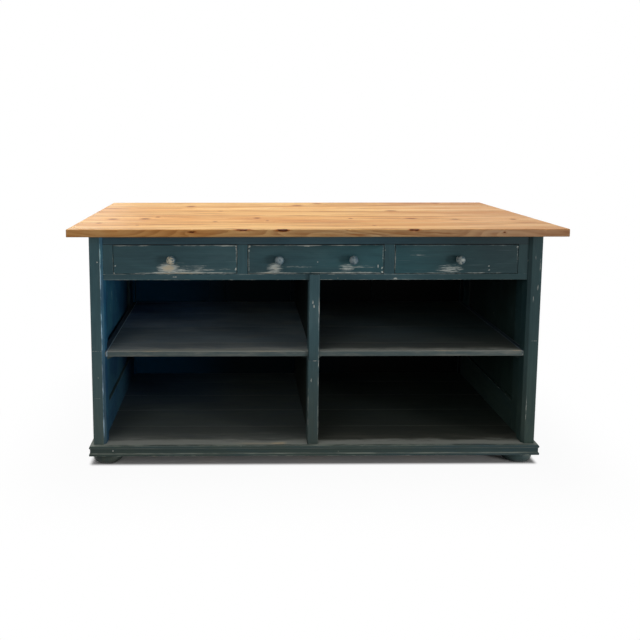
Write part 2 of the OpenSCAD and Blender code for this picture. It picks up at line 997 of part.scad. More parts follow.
module drawer_sides(d) {
    color(bare)
        for (i = [0, 1])
            let (x = side_spans(d)[i])
                difference() {
                    union() {
                        block(x, [front_in, drawer_y1 - drawer_side_t], [side_z0, side_z1]);
                        block(x, [front_in, drawer_y1], [side_z0, back_z0 - joint_gap]);
                        front_dovetails(x, 0);
                        back_dovetails(x, 0);
                    }
                    bottom_groove(i == 0 ? [x[1] - groove_d, x[1] + 1] : [x[0] - 1, x[0] + groove_d],
                        [drawer_y0, drawer_y1 + 1]);
                }
}

module drawer_back(d) {
    s = side_spans(d);
    color(bare)
        difference() {
            block([s[0][0], s[1][1]], [drawer_y1 - drawer_side_t, drawer_y1], [back_z0, back_z1]);
            back_dovetails([s[0][0] - 1, s[0][1]], joint_gap);
            back_dovetails([s[1][0], s[1][1] + 1], joint_gap);
        }
}

module drawer_bottom(d) {
    s = side_spans(d);
    color(bare)
        block([s[0][1] - groove_d + 0.5, s[1][0] + groove_d - 0.5],
            [front_in - groove_d + 0.5, drawer_y1], [bottom_z, bottom_z + drawer_bottom_t]);
}

// Half section of a turned knob: flange, hollow neck and a ball, a little flattened
module knob_section() {
    ball_h = 0.4 * knob_proj;
    ball_z = knob_proj - ball_h;
    neck_r = 0.6 * knob_base_r;
    flange = 3;
    cove_r = (ball_z - flange) / 2;
    square([knob_base_r - flange / 2, flange]);
    translate([knob_base_r - flange / 2, flange / 2])
        circle(flange / 2);
    difference() {
        square([neck_r + cove_r / 2, ball_z]);
        translate([neck_r + cove_r, flange + cove_r])
            circle(cove_r);
    }
    intersection() {
        translate([0, ball_z])
            scale([1, ball_h / knob_r])
                circle(knob_r);
        square([knob_r, knob_proj]);
    }
}

module knob() {
    color(paint)
        difference() {
            translate([0, drawer_y0, 0])
                rotate([90, 0, 0])
                    rotate_extrude()
                        knob_section();
            translate([0, front_in, 0])
                knob_screw(joint_gap / 2);
        }
}

// A round-headed screw that runs forwards into a knob, or with a gap its hole
module knob_screw(gap) {
    rotate([90, 0, 0])
        difference() {
            rotate_extrude()
                polygon([[0, -0.9 * head_h], [0.6 * head_r, -0.9 * head_h], [head_r, -0.3 * head_h],
                    [head_r, 0], [screw_r + gap, 0], [screw_r + gap, knob_screw_l - 2 * screw_r],
                    [0, knob_screw_l + gap]]);
            if (gap == 0)
                screw_slot(-0.9 * head_h);
        }
}

module knob_screws(knobs) {
    color(steel)
        at_knobs(knobs)
            translate([0, front_in, 0])
                knob_screw(0);
}

module knobs(at) {
    at_knobs(at)
        knob();
}

top_board(0);  // top_board_1
top_board(1);  // top_board_2
top_board(2);  // top_board_3
top_board(3);  // top_board_4
top_board(4);  // top_board_5
top_screws();
post_front_left();
post_front_right();
post_back_left();
post_back_right();
left_side_stiles();
left_side_rails();
left_side_panel();
right_side_stiles();
right_side_rails();
right_side_panel();
back_rails();
back_muntins();
back_panels();
front_top_rail();
drawer_rail();
front_uprights();
kickers();
drawer_runners();
drawer_stops();
divider_post();
divider_head();
divider_boards();
left_shelf_boards();
right_shelf_boards();
shelf_end_strips();
shelf_bearers();
base_boards();
base_battens();
plinth_front();
plinth_back();
plinth_left();
plinth_right();
foot(-1, -1);  // foot_front_left
foot(1, -1);  // foot_front_right
foot(-1, 1);  // foot_back_left
foot(1, 1);  // foot_back_right
drawer_front(left_span, left_knobs);  // left_drawer_front
drawer_sides(left_span);  // left_drawer_sides
drawer_back(left_span);  // left_drawer_back
drawer_bottom(left_span);  // left_drawer_bottom
knobs(left_knobs);  // left_drawer_knob
knob_screws(left_knobs);  // left_drawer_screw
drawer_front(mid_span, mid_knobs);  // middle_drawer_front
drawer_sides(mid_span);  // middle_drawer_sides
drawer_back(mid_span);  // middle_drawer_back
drawer_bottom(mid_span);  // middle_drawer_bottom
knobs(mid_knobs);  // middle_drawer_knobs
knob_screws(mid_knobs);  // middle_drawer_screws
drawer_front(right_span, right_knobs);  // right_drawer_front
drawer_sides(right_span);  // right_drawer_sides
drawer_back(right_span);  // right_drawer_back
drawer_bottom(right_span);  // right_drawer_bottom
knobs(right_knobs);  // right_drawer_knob
knob_screws(right_knobs);  // right_drawer_screw
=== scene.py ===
import math
import random

import bpy
import bmesh
import numpy as np
from mathutils import Matrix, Vector


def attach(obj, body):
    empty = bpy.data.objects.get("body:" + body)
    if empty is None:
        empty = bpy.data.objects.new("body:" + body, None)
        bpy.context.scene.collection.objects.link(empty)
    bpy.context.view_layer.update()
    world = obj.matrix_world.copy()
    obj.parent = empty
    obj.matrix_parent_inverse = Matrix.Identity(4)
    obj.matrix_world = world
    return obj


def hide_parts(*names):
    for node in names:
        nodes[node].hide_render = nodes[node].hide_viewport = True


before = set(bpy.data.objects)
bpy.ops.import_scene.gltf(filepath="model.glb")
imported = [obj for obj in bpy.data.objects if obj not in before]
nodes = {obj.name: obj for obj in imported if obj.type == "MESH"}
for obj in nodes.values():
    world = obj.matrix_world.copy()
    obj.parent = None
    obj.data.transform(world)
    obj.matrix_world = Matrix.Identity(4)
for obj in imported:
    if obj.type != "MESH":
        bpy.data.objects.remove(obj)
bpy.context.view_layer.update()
scene = bpy.context.scene
print("frame loaded:", len(nodes), "nodes")

# kinds of noise: blots to the metre on each axis, detail, roughness, and how far it is warped
noiseKinds = {
    # pine
    "sway": ((1.1, 5, 5), 2, 0.5), "wobble": ((2.5, 20, 20), 2, 0.5), "knotEdge": ((110, 260, 260), 2, 0.5),
    "fibre": ((14, 900, 900), 3, 0.6), "streak": ((1.6, 90, 90), 4, 0.6), "golden": ((0.9, 9, 9), 2, 0.5),
    "dash": ((3.5, 48, 48), 4, 0.62, 0.3),
    # paint
    "brush": ((5, 260, 260), 3, 0.6), "ragged": ((45, 240, 240), 3, 0.65), "patchy": ((4.5, 11, 11), 2, 0.5),
    "broad": ((1.6, 5, 5), 2, 0.5), "smear": ((7, 34, 34), 4, 0.6, 0.6), "grainy": ((6, 420, 420), 3, 0.6),
    "nick": ((9, 520, 520), 2, 0.5), "here": ((3, 14, 14), 2, 0.5), "scuff": ((22, 230, 230), 4, 0.72, 0.3),
    "crumbs": ((170, 340, 340), 3, 0.7),
    # the bluer wall inside
    "mottle": ((9, 8, 6), 3, 0.6, 0.8), "some": ((4, 3.2, 4.5), 1, 0.5), "scar": ((40, 80, 12), 3, 0.6),
    "rub": ((30, 13, 26), 4, 0.65, 0.8),
    # plinth, shelves, knobs, screws
    "lip": ((9, 60, 60), 4, 0.65), "tread": ((7, 40, 40), 4, 0.65), "handled": ((110, 110, 110), 3, 0.65),
    "dull": ((900, 900, 900), 3, 0.5),
}


# small helpers for node trees
def newFinish(name):
    mat = bpy.data.materials.new(name)
    mat.use_nodes = True
    return mat, mat.node_tree, mat.node_tree.nodes["Principled BSDF"]


def isSocket(value):
    return isinstance(value, bpy.types.NodeSocket)


def feed(node, inputs):
    # sockets are plugged in, plain values are typed in
    for key, value in inputs.items():
        if isSocket(value):
            node.id_data.links.new(value, node.inputs[key])
        else:
            node.inputs[key].default_value = value
    return node


def put(kind, inputs, nt=None, **settings):
    # a new node, in the tree of the sockets that go into it
    nt = nt or next(value.id_data for value in inputs.values() if isSocket(value))
    made = nt.nodes.new("ShaderNode" + kind)
    for key, value in settings.items():
        setattr(made, key, value)
    return feed(made, inputs)


def calc(operation, a, b=0.0, clamp=False):
    return put("Math", {0: a, 1: b}, operation=operation, use_clamp=clamp).outputs[0]


def plus(a, b, clamp=False):
    return calc("ADD", a, b, clamp)


def times(a, b, clamp=False):
    return calc("MULTIPLY", a, b, clamp)


def fold(operation, values):
    # one value out of many, such as the least of them
    last = values[0]
    for value in values[1:]:
        last = calc(operation, last, value)
    return last


def vec(operation, a, b=(0, 0, 0)):
    made = put("VectorMath", {0: a, 1: b}, operation=operation)
    return made.outputs["Value" if operation == "LENGTH" else "Vector"]


def axes(vector):
    return put("SeparateXYZ", {0: vector}).outputs


def ramp(value, low, high, to=(0.0, 1.0), smooth=True):
    ends = {"Value": value, "From Min": low, "From Max": high, "To Min": to[0], "To Max": to[1]}
    return put("MapRange", ends, interpolation_type="SMOOTHSTEP" if smooth else "LINEAR").outputs[0]


def wander(value, reach, low=0.2, high=0.8):
    # noise spread evenly from -reach to reach
    return ramp(value, low, high, (-reach, reach), False)


def gapTo(spot, middle, size):
    # distance from a middle, in sizes; a size of 0 leaves that axis out
    shrink = [1 / s if s else 0 for s in size]
    return vec("LENGTH", vec("MULTIPLY", vec("SUBTRACT", spot, middle), shrink))


def tint(amount, a, b, how="MIX"):
    a, b = (c if isSocket(c) else (*c, 1.0) for c in (a, b))
    return put("Mix", {0: amount, 6: a, 7: b}, data_type="RGBA", blend_type=how).outputs[2]


def dye(colour, by, amount=None):
    # multiplies a colour by another, everywhere or by an amount
    dyed = tint(1.0, colour, by, "MULTIPLY")
    return dyed if amount is None else tint(amount, colour, dyed)


def vary(colour, value, dark, light, low=0.3, high=0.7):
    return dye(colour, tint(ramp(value, low, high), dark, light))


def cloud(place, kind):
    stretch, detail, rough, *warp = noiseKinds[kind]
    return put("TexNoise", {"Vector": vec("MULTIPLY", place, stretch), "Scale": 1.0, "Detail": detail,
                            "Roughness": rough, "Distortion": sum(warp)}).outputs[0]


def named(nt, name):
    made = put("Attribute", {}, nt, attribute_name=name)
    return made.outputs["Vector" if name in ("grainPlace", "fromLow", "fromHigh") else "Fac"]


def facing(nt, axis):
    return axes(put("NewGeometry", {}, nt).outputs["Normal"])[axis]


def objectSpot(nt):
    return put("TexCoord", {}, nt).outputs["Object"]


def bumpOf(height, strength, distance):
    return put("Bump", {"Strength": strength, "Distance": distance, "Height": height}).outputs[0]


def straightRays(nt):
    # 1 for what the camera sees, also in or through something, 0 for bounced light
    seen = put("LightPath", {}, nt).outputs
    return fold("MAXIMUM", [seen["Is Camera Ray"], seen["Is Glossy Ray"], seen["Is Transmission Ray"]])


def rgb(*levels):
    # a 0-255 screen colour as Blender's linear colour
    return tuple(round((c / 255 / 12.92) if c <= 10 else ((c / 255 + 0.055) / 1.055) ** 2.4, 5)
                 for c in levels)


# grain: every board knows which way it runs and where its edges are
grainLook = {
    "turned": {"knob": 1, "foot": 2},  # turned pieces: axis of the lathe
    "runs": {"side_panel": 2, "back_panels": 2, "drawer_bottom": 0},  # square pieces: axis of the grain
    "log": (2, 40),  # metres along the trunk between which a board is cut
    "heart": (0.05, 0.06),  # how far the tree's heart lies from a board, across and below
    "turnedHeart": (0.02, 0.01),
}


def readAll(items, key, kind, width=1):
    values = np.empty(len(items) * width, kind)
    items.foreach_get(key, values)
    return values


def separateBoards(mesh):
    # which board each vertex belongs to; the frame's vertices are split at every face
    co = readAll(mesh.vertices, "co", float, 3).reshape(-1, 3)
    places, same = np.unique(np.round(co, 6), axis=0, return_inverse=True)
    same = same.reshape(-1)
    loops = readAll(mesh.loops, "vertex_index", int)
    starts = readAll(mesh.polygons, "loop_start", int)
    faceOfLoop = np.searchsorted(starts, np.arange(len(loops)), "right") - 1
    first, member = same[loops[starts]][faceOfLoop], same[loops]
    group = np.arange(len(places))
    while True:
        low = np.minimum(group[first], group[member])
        before = group.copy()
        np.minimum.at(group, first, low)
        np.minimum.at(group, member, low)
        group = group[group]
        if (group == before).all():
            break
    return co, np.unique(group[same], return_inverse=True)[1].reshape(-1)


def grainOrder(name, size):
    # the axes along the grain, across it and through the board
    order = list(np.argsort(-size))
    for word, axis in grainLook["turned"].items():
        if word in name:
            return [axis] + [a for a in range(3) if a != axis]
    for word, axis in grainLook["runs"].items():
        if word in name:
            return [axis] + [a for a in order if a != axis]
    return order


def addToVertices(mesh, name, values):
    kind, key = ("FLOAT_VECTOR", "vector") if np.ndim(values) == 2 else ("FLOAT", "value")
    made = mesh.attributes.new(name, kind, "POINT")
    made.data.foreach_set(key, np.asarray(values, np.float32).ravel())


def layGrain(thing, rubLong=1.0, rubEnd=0.3, box=None, shade=None):
    # grainPlace: metres along, across and through the board, from the heart of the tree
    # fromLow, fromHigh: metres to the board's own sides on the same axes
    co, board = separateBoards(thing.data)
    grain, low, high, tone = np.zeros_like(co), np.zeros_like(co), np.zeros_like(co), np.zeros(len(co))
    across, below = grainLook["heart"]
    for k in range(board.max() + 1):
        mine = board == k
        lo, hi = (co[mine].min(0), co[mine].max(0)) if box is None else box
        order = grainOrder(thing.name, hi - lo)
        dice = random.Random(f"{thing.name} {k}")
        heart = [dice.uniform(*grainLook["log"]), dice.uniform(-across, across),
                 dice.choice((-1, 1)) * dice.uniform(0.3, 1) * below]
        if any(word in thing.name for word in grainLook["turned"]):
            heart = [dice.uniform(*grainLook["log"]), *grainLook["turnedHeart"]]
        own = co[mine][:, order]
        grain[mine] = own - ((lo + hi) / 2)[order] + heart
        low[mine] = own - lo[order]
        high[mine] = hi[order] - own
        tone[mine] = dice.random() if shade is None else shade
    for name, values in (("grainPlace", grain), ("fromLow", low), ("fromHigh", high), ("boardTone", tone),
                         ("rubLong", np.full(len(co), rubLong)), ("rubEnd", np.full(len(co), rubEnd))):
        addToVertices(thing.data, name, values)


# waxed pine: the worktop
topLook = {
    "pale": rgb(248, 202, 134), "gold": rgb(229, 169, 100), "dark": rgb(178, 114, 58),
    "light": rgb(255, 221, 160), "flames": 1.0, "dashes": 0.9, "band": 0.20,
    "ring": 0.0046, "sway": 0.03, "taper": 0.012, "wobble": 1.6,  # metres to a ring; how rings wander
    "roughness": (0.42, 0.6), "gloss": 0.12,
    "rightEnd": (0.97, 0.96, 1.16),                             # the right-hand end has greyed
    "edgePaintedLight": ((1.30, 1.24, 1.28), (1.22, 1.38, 1.95)),       # painted light on the front edge, lighter and bluer to the right: at the left, at the right
    "endTone": (0.92, 0.88, 0.84),                              # the other three
    "seam": (0.60, 0.52, 0.44), "seamWidth": (0.0035, 0.0006),  # where a joint starts to darken and is dark
    "knotRim": rgb(166, 96, 42), "knotHeart": rgb(108, 58, 20), "edgeKnot": (0.42, 0.32, 0.40),
    "knotRagged": 0.5, "swing": 2.6,  # a knot's uneven rim; rings it pushes aside
    "top": 0.9, "front": -0.425,
    # knots on the top: x, y, half length and half width in metres, how dark
    "topKnots": [
        (-0.774, -0.155, 0.019, 0.013, 0.78), (-0.649, -0.147, 0.017, 0.015, 0.82),
        (-0.605, -0.097, 0.008, 0.01, 0.78), (-0.5, 0.263, 0.018, 0.022, 0.74),
        (-0.208, -0.13, 0.011, 0.014, 0.82), (-0.011, 0.299, 0.022, 0.022, 0.72),
        (0.4, -0.144, 0.021, 0.014, 0.78), (0.161, -0.142, 0.008, 0.011, 0.74),
        (0.567, -0.166, 0.017, 0.01, 0.82), (0.793, -0.168, 0.01, 0.011, 0.78),
        (0.379, 0.1, 0.02, 0.018, 0.68), (0.661, 0.397, 0.02, 0.018, 0.74),
        (-0.653, -0.317, 0.007, 0.006, 0.78), (-0.804, -0.265, 0.01, 0.008, 0.78),
        (0.092, 0.381, 0.018, 0.017, 0.68), (0.215, -0.335, 0.007, 0.006, 0.78),
        (-0.36, 0.09, 0.009, 0.012, 0.62), (-0.17, -0.205, 0.006, 0.008, 0.78),
        (-0.37, -0.225, 0.007, 0.009, 0.74)],
    # and along the front edge: x, z, half length, half height, how dark
    "edgeKnots": [
        (-0.444, 0.8905, 0.013, 0.0032, 1.1), (-0.265, 0.8985, 0.022, 0.0046, 1.3),
        (-0.125, 0.8965, 0.02, 0.005, 1.3), (0.337, 0.898, 0.017, 0.0046, 1.3),
        (0.654, 0.8885, 0.0035, 0.0022, 1.1), (0.13, 0.88, 0.036, 0.003, 0.35)],
}


def yearRings(place, look):
    # rings counted out from the heart of the tree, with the boards' wandering
    along, across, below = axes(place)
    across = plus(across, wander(cloud(place, "sway"), look["sway"]))
    side = plus(times(across, across), times(below, below))
    reach = plus(calc("SQRT", side), times(along, look["taper"]))
    wobble = times(cloud(place, "wobble"), look["wobble"])
    return plus(calc("DIVIDE", reach, look["ring"]), wobble)


def knotMarks(spot, look):
    # distance to the nearest knot, in knot sizes, and how dark the wood is there
    knots = [((x, y, look["top"]), (long, wide, wide), dark) for x, y, long, wide, dark in look["topKnots"]]
    knots += [((x, look["front"], z), (long, 2 * high, high), dark)
              for x, z, long, high, dark in look["edgeKnots"]]
    gaps = [gapTo(spot, middle, size) for middle, size, dark in knots]
    marks = [ramp(gap, 3.0, 0.4, (0.0, knot[2])) for gap, knot in zip(gaps, knots)]
    near = plus(fold("MINIMUM", gaps), wander(cloud(spot, "knotEdge"), look["knotRagged"]))
    return near, fold("MAXIMUM", marks)


def worktopColour(nt, spot, base, near, darkness, look):
    x, y, _ = axes(spot)
    base = dye(base, look["rightEnd"], ramp(x, 0.1, 0.8))
    # painted light: the front edge lightened, bluer to the right; the other edges take a darker tone
    upright = ramp(calc("ABSOLUTE", facing(nt, 2)), 0.75, 0.3)
    edge = tint(ramp(x, -0.45, 0.45), *look["edgePaintedLight"])
    edge = tint(ramp(facing(nt, 1), -0.6, -0.2), edge, look["endTone"])
    base = dye(base, edge, upright)
    toSide = calc("MINIMUM", axes(named(nt, "fromLow"))[1], axes(named(nt, "fromHigh"))[1])
    base = dye(base, look["seam"], ramp(toSide, *look["seamWidth"]))
    base = tint(times(ramp(near, 1.9, 0.8), darkness), base, look["knotRim"])
    heart = ramp(times(ramp(near, 1.5, 0.6), darkness), 0.5, 1.0)
    edgeHeart = [a * b for a, b in zip(look["knotHeart"], look["edgeKnot"])]
    return tint(heart, base, tint(ramp(y, -0.405, -0.418), look["knotHeart"], edgeHeart))


def pineFinish(name, look):
    mat, nt, skin = newFinish(name)
    place, tone, spot = named(nt, "grainPlace"), named(nt, "boardTone"), objectSpot(nt)
    turn = yearRings(place, look)
    if "topKnots" in look:
        near, darkness = knotMarks(spot, look)
        onTop = ramp(facing(nt, 2), 0.2, 0.8, (0.25, 1.0))
        turn = plus(turn, times(ramp(near, 0.6, 5.0, (look["swing"], 0.0)), onTop))
    part = calc("FRACT", turn)
    lateWood = times(ramp(part, 0.15, 0.85), ramp(part, 1.0, 0.9))
    fibre, streak, dash = (cloud(place, kind) for kind in ("fibre", "streak", "dash"))
    # flames follow the rings and differ from board to board
    ringPlace = put("CombineXYZ", {0: times(turn, look["band"]), 1: times(axes(place)[0], 1.5),
                                   2: times(tone, 9.0)})
    flame = put("TexNoise", {"Vector": ringPlace.outputs[0], "Scale": 1.0, "Detail": 5.0, "Roughness": 0.68})
    flame = flame.outputs[0]

    base = tint(ramp(cloud(place, "golden"), 0.36, 0.64), look["pale"], look["gold"])
    for noise, start, full, strong, shade in (
            (flame, 0.5, 0.72, look["flames"], "dark"), (flame, 0.48, 0.28, look["flames"], "light"),
            (dash, 0.54, 0.70, look["dashes"], "dark"), (dash, 0.42, 0.28, look["dashes"], "light")):
        base = tint(ramp(noise, start, full, (0.0, strong)), base, look[shade])
    base = tint(times(lateWood, ramp(streak, 0.3, 0.75, (0.15, 0.7))), base, look["dark"])
    base = tint(ramp(streak, 0.52, 0.8, (0.0, 0.55)), base, look["dark"])
    base = dye(base, tint(tone, (0.90, 0.87, 0.82), (1.05, 1.05, 1.03)))
    base = vary(base, fibre, (0.93, 0.92, 0.9), (1.05, 1.05, 1.05))
    if "topKnots" in look:
        base = worktopColour(nt, spot, base, near, darkness, look)

    relief = plus(times(lateWood, 0.5), times(fibre, 0.5))
    feed(skin, {"Base Color": base, "Roughness": ramp(fibre, 0.2, 0.8, look["roughness"], False),
                "Specular IOR Level": look["gloss"], "Normal": bumpOf(relief, 0.22, 0.0006)})
    return mat


waxedPine = pineFinish("waxedPine", topLook)

# the same wood unwaxed: inside the drawers and under the top
bareLook = {
    "pale": rgb(214, 180, 134), "gold": rgb(198, 156, 104), "dark": rgb(158, 112, 68),
    "light": rgb(226, 196, 152), "flames": 0.4, "dashes": 0.2, "band": 0.3,
    "ring": 0.0036, "sway": 0.03, "taper": 0.01, "wobble": 2.0, "roughness": (0.6, 0.78), "gloss": 0.12,
}
barePine = pineFinish("barePine", bareLook)
print("pine finishes made")


# the slate paint and what has rubbed off it
paintLook = {
    "paint": rgb(66, 97, 104), "paintDark": rgb(54, 82, 89), "faded": rgb(112, 134, 138),
    "dusty": rgb(82, 94, 88), "undercoat": rgb(190, 194, 186), "chalk": rgb(236, 236, 226),
    "wood": rgb(224, 190, 140), "woodDark": rgb(188, 146, 98),
    "rubReach": 0.0022,   # how far in from an edge the paint has thinned, metres
    "bareReach": 0.0006,  # and how far it has gone
    "ragged": 0.0030, "scratches": 0.4, "blotch": 0.6, "roughness": (0.42, 0.6), "gloss": 0.22,
    "haze": 0.45,  # thinned paint round a worn place
    "tan": 0.6,  # how much bare wood shows in the middle of a worn place
    "dustTop": 0.62,  # the paint grows dustier below this height, metres
    "middle": (0.80, 0.90, 0.92), "rightEnd": (0.54, 0.62, 0.60),  # tints of the coat there, painted shade that darkens it towards the right
    "coatEnds": (("middle", -0.45, 0.4), ("rightEnd", 0.3, 0.62)),  # x where each starts and is full
}


def paintCoat(nt, spot, place, brush, patchy, broad, look):
    # dustier towards the floor, and darker towards the right-hand end as painted shade
    x, _, height = axes(spot)
    smear = cloud(place, "smear")
    coat = tint(ramp(broad, 0.3, 0.7), look["paint"], look["paintDark"])
    coat = tint(times(ramp(patchy, 0.45, 0.8), look["blotch"] * 0.3), coat, look["faded"])
    dust = plus(ramp(height, look["dustTop"], 0.06, (0.0, 0.85)), ramp(x, 0.2, 0.8, (0.0, 0.18)))
    coat = tint(times(dust, ramp(smear, 0.3, 0.6, (0.75, 1.1)), True), coat, look["dusty"])
    coat = vary(coat, smear, (0.86, 0.86, 0.87), (1.14, 1.13, 1.12), 0.28, 0.72)
    coat = vary(coat, brush, (0.92, 0.92, 0.92), (1.08, 1.08, 1.08))
    coat = dye(coat, tint(named(nt, "boardTone"), (0.95, 0.96, 0.97), (1.05, 1.04, 1.03)))
    # the painted shade at the right-hand end is weaker on faces turned to the right
    endShadeWeight = ramp(facing(nt, 0), 0.8, 0.3, (0.35, 1.0))
    for key, start, full in look["coatEnds"]:
        coat = dye(coat, look[key], times(ramp(x, start, full), endShadeWeight))
    return coat


def rubbedEdges(nt, toSides, ragged, patchy, look):
    # thinned to a pale line, bare only here and there: how thin, how bare
    jag = wander(ragged, look["ragged"])
    luck = ramp(patchy, 0.35, 0.72, (0.0, 1.9), False)
    much, muchEnd = times(luck, named(nt, "rubLong")), times(luck, named(nt, "rubEnd"))
    edge, end = plus(calc("MAXIMUM", toSides[1], toSides[2]), jag), plus(toSides[0], jag)

    def within(amount, reach, gap, start, full):
        return ramp(calc("SUBTRACT", times(amount, reach), gap), start, full)

    thin = within(much, look["rubReach"], edge, -0.001, 0.003)
    bare = [within(amount, look["bareReach"], gap, 0.0, 0.0016)
            for amount, gap in ((much, edge), (muchEnd, end))]
    return thin, fold("MAXIMUM", bare)


def scratchesAndSpecks(place, ragged, look):
    # fine scratches along the grain, and a chip in few of the cells
    here = ramp(cloud(place, "here"), 0.48, 0.68)
    scratch = times(times(ramp(cloud(place, "nick"), 0.62, 0.74), here), look["scratches"])
    cells = put("TexVoronoi", {"Vector": vec("MULTIPLY", place, (14, 22, 22)), "Scale": 1.0}).outputs
    chosen = calc("GREATER_THAN", put("SeparateColor", {0: cells["Color"]}).outputs[0], 0.88)
    size = ramp(plus(cells["Distance"], times(ragged, 0.06)), 0.085, 0.06)
    return scratch, times(size, chosen)


def wearSpots(spot, place, bare, finish, missing, look, spots):
    # worn places: x, z, half width, half height, how much
    marks = [ramp(gapTo(spot, (x, 0, z), (wide, 0, tall)), 1.7, 0.1, (0.0, strong))
             for x, z, wide, tall, strong in spots]
    worn = fold("MAXIMUM", marks)
    scuff = cloud(place, "scuff")
    level = plus(worn, wander(scuff, 0.85, 0.27, 0.73))
    level = times(level, ramp(worn, 0.02, 0.25))
    haze = times(ramp(worn, 0.05, 0.7, (0.0, look["haze"])), ramp(scuff, 0.3, 0.6))
    rubbed = ramp(level, 0.25, 1.0)
    core = ramp(times(level, ramp(worn, 0.5, 1.1)), 0.6, 1.4, (0.0, look["tan"]))
    finish = tint(haze, finish, look["faded"])
    finish = tint(times(rubbed, 0.74), finish, look["chalk"])
    return tint(core, finish, bare), calc("MAXIMUM", missing, rubbed)


def chipOff(spot, place, finish, missing, look, chips):
    # chips down to the undercoat: x, z, half width, half height
    gap = fold("MINIMUM", [gapTo(spot, (x, 0, z), (wide, 0, tall)) for x, z, wide, tall in chips])
    chip = ramp(plus(gap, wander(cloud(place, "crumbs"), 0.9, 0.27, 0.73)), 1.2, 0.6)
    return tint(times(chip, 0.8), finish, look["chalk"]), calc("MAXIMUM", missing, chip)


def paintFinish(name, look=None, spots=(), chips=(), extras=()):
    look = {**paintLook, **(look or {})}
    mat, nt, skin = newFinish(name)
    place, spot = named(nt, "grainPlace"), objectSpot(nt)
    low, high = axes(named(nt, "fromLow")), axes(named(nt, "fromHigh"))
    toSides = [calc("MINIMUM", low[k], high[k]) for k in range(3)]
    brush, ragged, patchy, broad = (cloud(place, kind) for kind in ("brush", "ragged", "patchy", "broad"))

    coat = paintCoat(nt, spot, place, brush, patchy, broad, look)
    bare = tint(ramp(cloud(place, "grainy"), 0.35, 0.7), look["wood"], look["woodDark"])
    under = tint(ramp(broad, 0.6, 0.8), look["undercoat"], look["wood"])
    thin, gone = rubbedEdges(nt, toSides, ragged, patchy, look)
    scratch, speck = scratchesAndSpecks(place, ragged, look)
    coat = tint(times(thin, 0.5), coat, look["faded"])
    coat = tint(scratch, coat, look["faded"])
    missing = calc("MAXIMUM", times(gone, 0.75), times(speck, 0.6))
    finish = tint(missing, coat, under)
    if spots:
        finish, missing = wearSpots(spot, place, bare, finish, missing, look, spots)
    if chips:
        finish, missing = chipOff(spot, place, finish, missing, look, chips)
    if "seam" in look:
        toLong = calc("MAXIMUM", toSides[1], toSides[2])
        seam = times(ramp(toLong, 0.0065, 0.001), ramp(patchy, 0.3, 0.65, (0.1, look["seam"])))
        finish = tint(seam, finish, look["faded"])
    for extra in extras:
        finish, missing = extra(nt, spot, place, finish, missing, look)

    rough = ramp(brush, 0.25, 0.75, look["roughness"], False)
    relief = calc("SUBTRACT", times(brush, 0.45), times(missing, 0.6))
    feed(skin, {"Base Color": finish, "Roughness": plus(rough, times(missing, 0.14), True),
                "Specular IOR Level": look["gloss"], "Normal": bumpOf(relief, 0.35, 0.0005)})
    return mat


# inside the bays: painted light and shade; the left wall made bluer and brighter as if lit from the right,
# those at the back and the right painted dark as shade
insideLook = {
    "bluePaintedLight": (0.50, 1.15, 1.85), "teal": (1.02, 1.02, 0.84), "scuff": rgb(160, 188, 200),
    "low": (0.60, 0.62, 0.72), "lowFrom": (0.44, 0.36),       # painted shade below the shelf
    "shade": (0.30, 0.34, 0.42), "shadeFrom": (-0.34, 0.24),  # painted shade further in
    # painted shade at the back of the bays, near black, with painted blue light at the back of the left one
    "back": rgb(6, 8, 8), "backMiddle": rgb(12, 27, 33), "backLeft": rgb(26, 98, 140),
    "deep": (0.1, 0.28),  # y where the painted shade starts and is full
}


def paintedLightAndShadeInside(nt, spot, place, finish, missing, look):
    x, y, height = axes(spot)
    # painted blue light on faces turned to the right, painted shade below the shelf and further in
    inner = dye(finish, insideLook["bluePaintedLight"])
    inner = dye(inner, insideLook["low"], ramp(height, *insideLook["lowFrom"]))
    inner = dye(inner, insideLook["shade"], ramp(y, *insideLook["shadeFrom"], smooth=False))
    mottle = cloud(spot, "mottle")
    inner = dye(inner, insideLook["teal"], ramp(mottle, 0.45, 0.62))
    inner = vary(inner, mottle, (0.66, 0.70, 0.74), (1.25, 1.25, 1.22), 0.36, 0.64)
    # scratches that lean, in some places only, and soft rubs
    lean = vec("ADD", spot, put("CombineXYZ", {1: times(height, 0.35)}).outputs[0])
    some = ramp(cloud(spot, "some"), 0.54, 0.66)
    scar = times(ramp(cloud(lean, "scar"), 0.62, 0.70, (0.0, 0.7)), some)
    inner = tint(scar, inner, insideLook["scuff"])
    inner = tint(ramp(cloud(spot, "rub"), 0.62, 0.74, (0.0, 0.2)), inner, look["faded"])
    return tint(ramp(facing(nt, 0), 0.3, 1.0), finish, inner), missing


def paintedShadeInside(nt, spot, place, finish, missing, look):
    # painted shade on the inner faces at the back of the bays
    x, y, _ = axes(spot)
    inside = times(ramp(times(facing(nt, 1), -1.0), 0.3, 0.8), ramp(y, *insideLook["deep"]))
    back = tint(ramp(x, -0.80, -0.28), insideLook["backLeft"], insideLook["backMiddle"])
    back = tint(ramp(x, 0.0, 0.3), back, insideLook["back"])
    return tint(inside, finish, back), missing


def clearPaintedShadeOutside(nt, spot, place, finish, missing, look):
    # the side turned to the right keeps the slate coat; the dark coat on the faces inside the bays is
    # painted shade
    return dye(finish, look["outside"], ramp(facing(nt, 0), 0.3, 0.8)), missing


carcasePaint = paintFinish("carcasePaint", chips=[
    (0.29, 0.7089, 0.006, 0.003), (-0.512, 0.7154, 0.007, 0.0015)], extras=[paintedShadeInside])
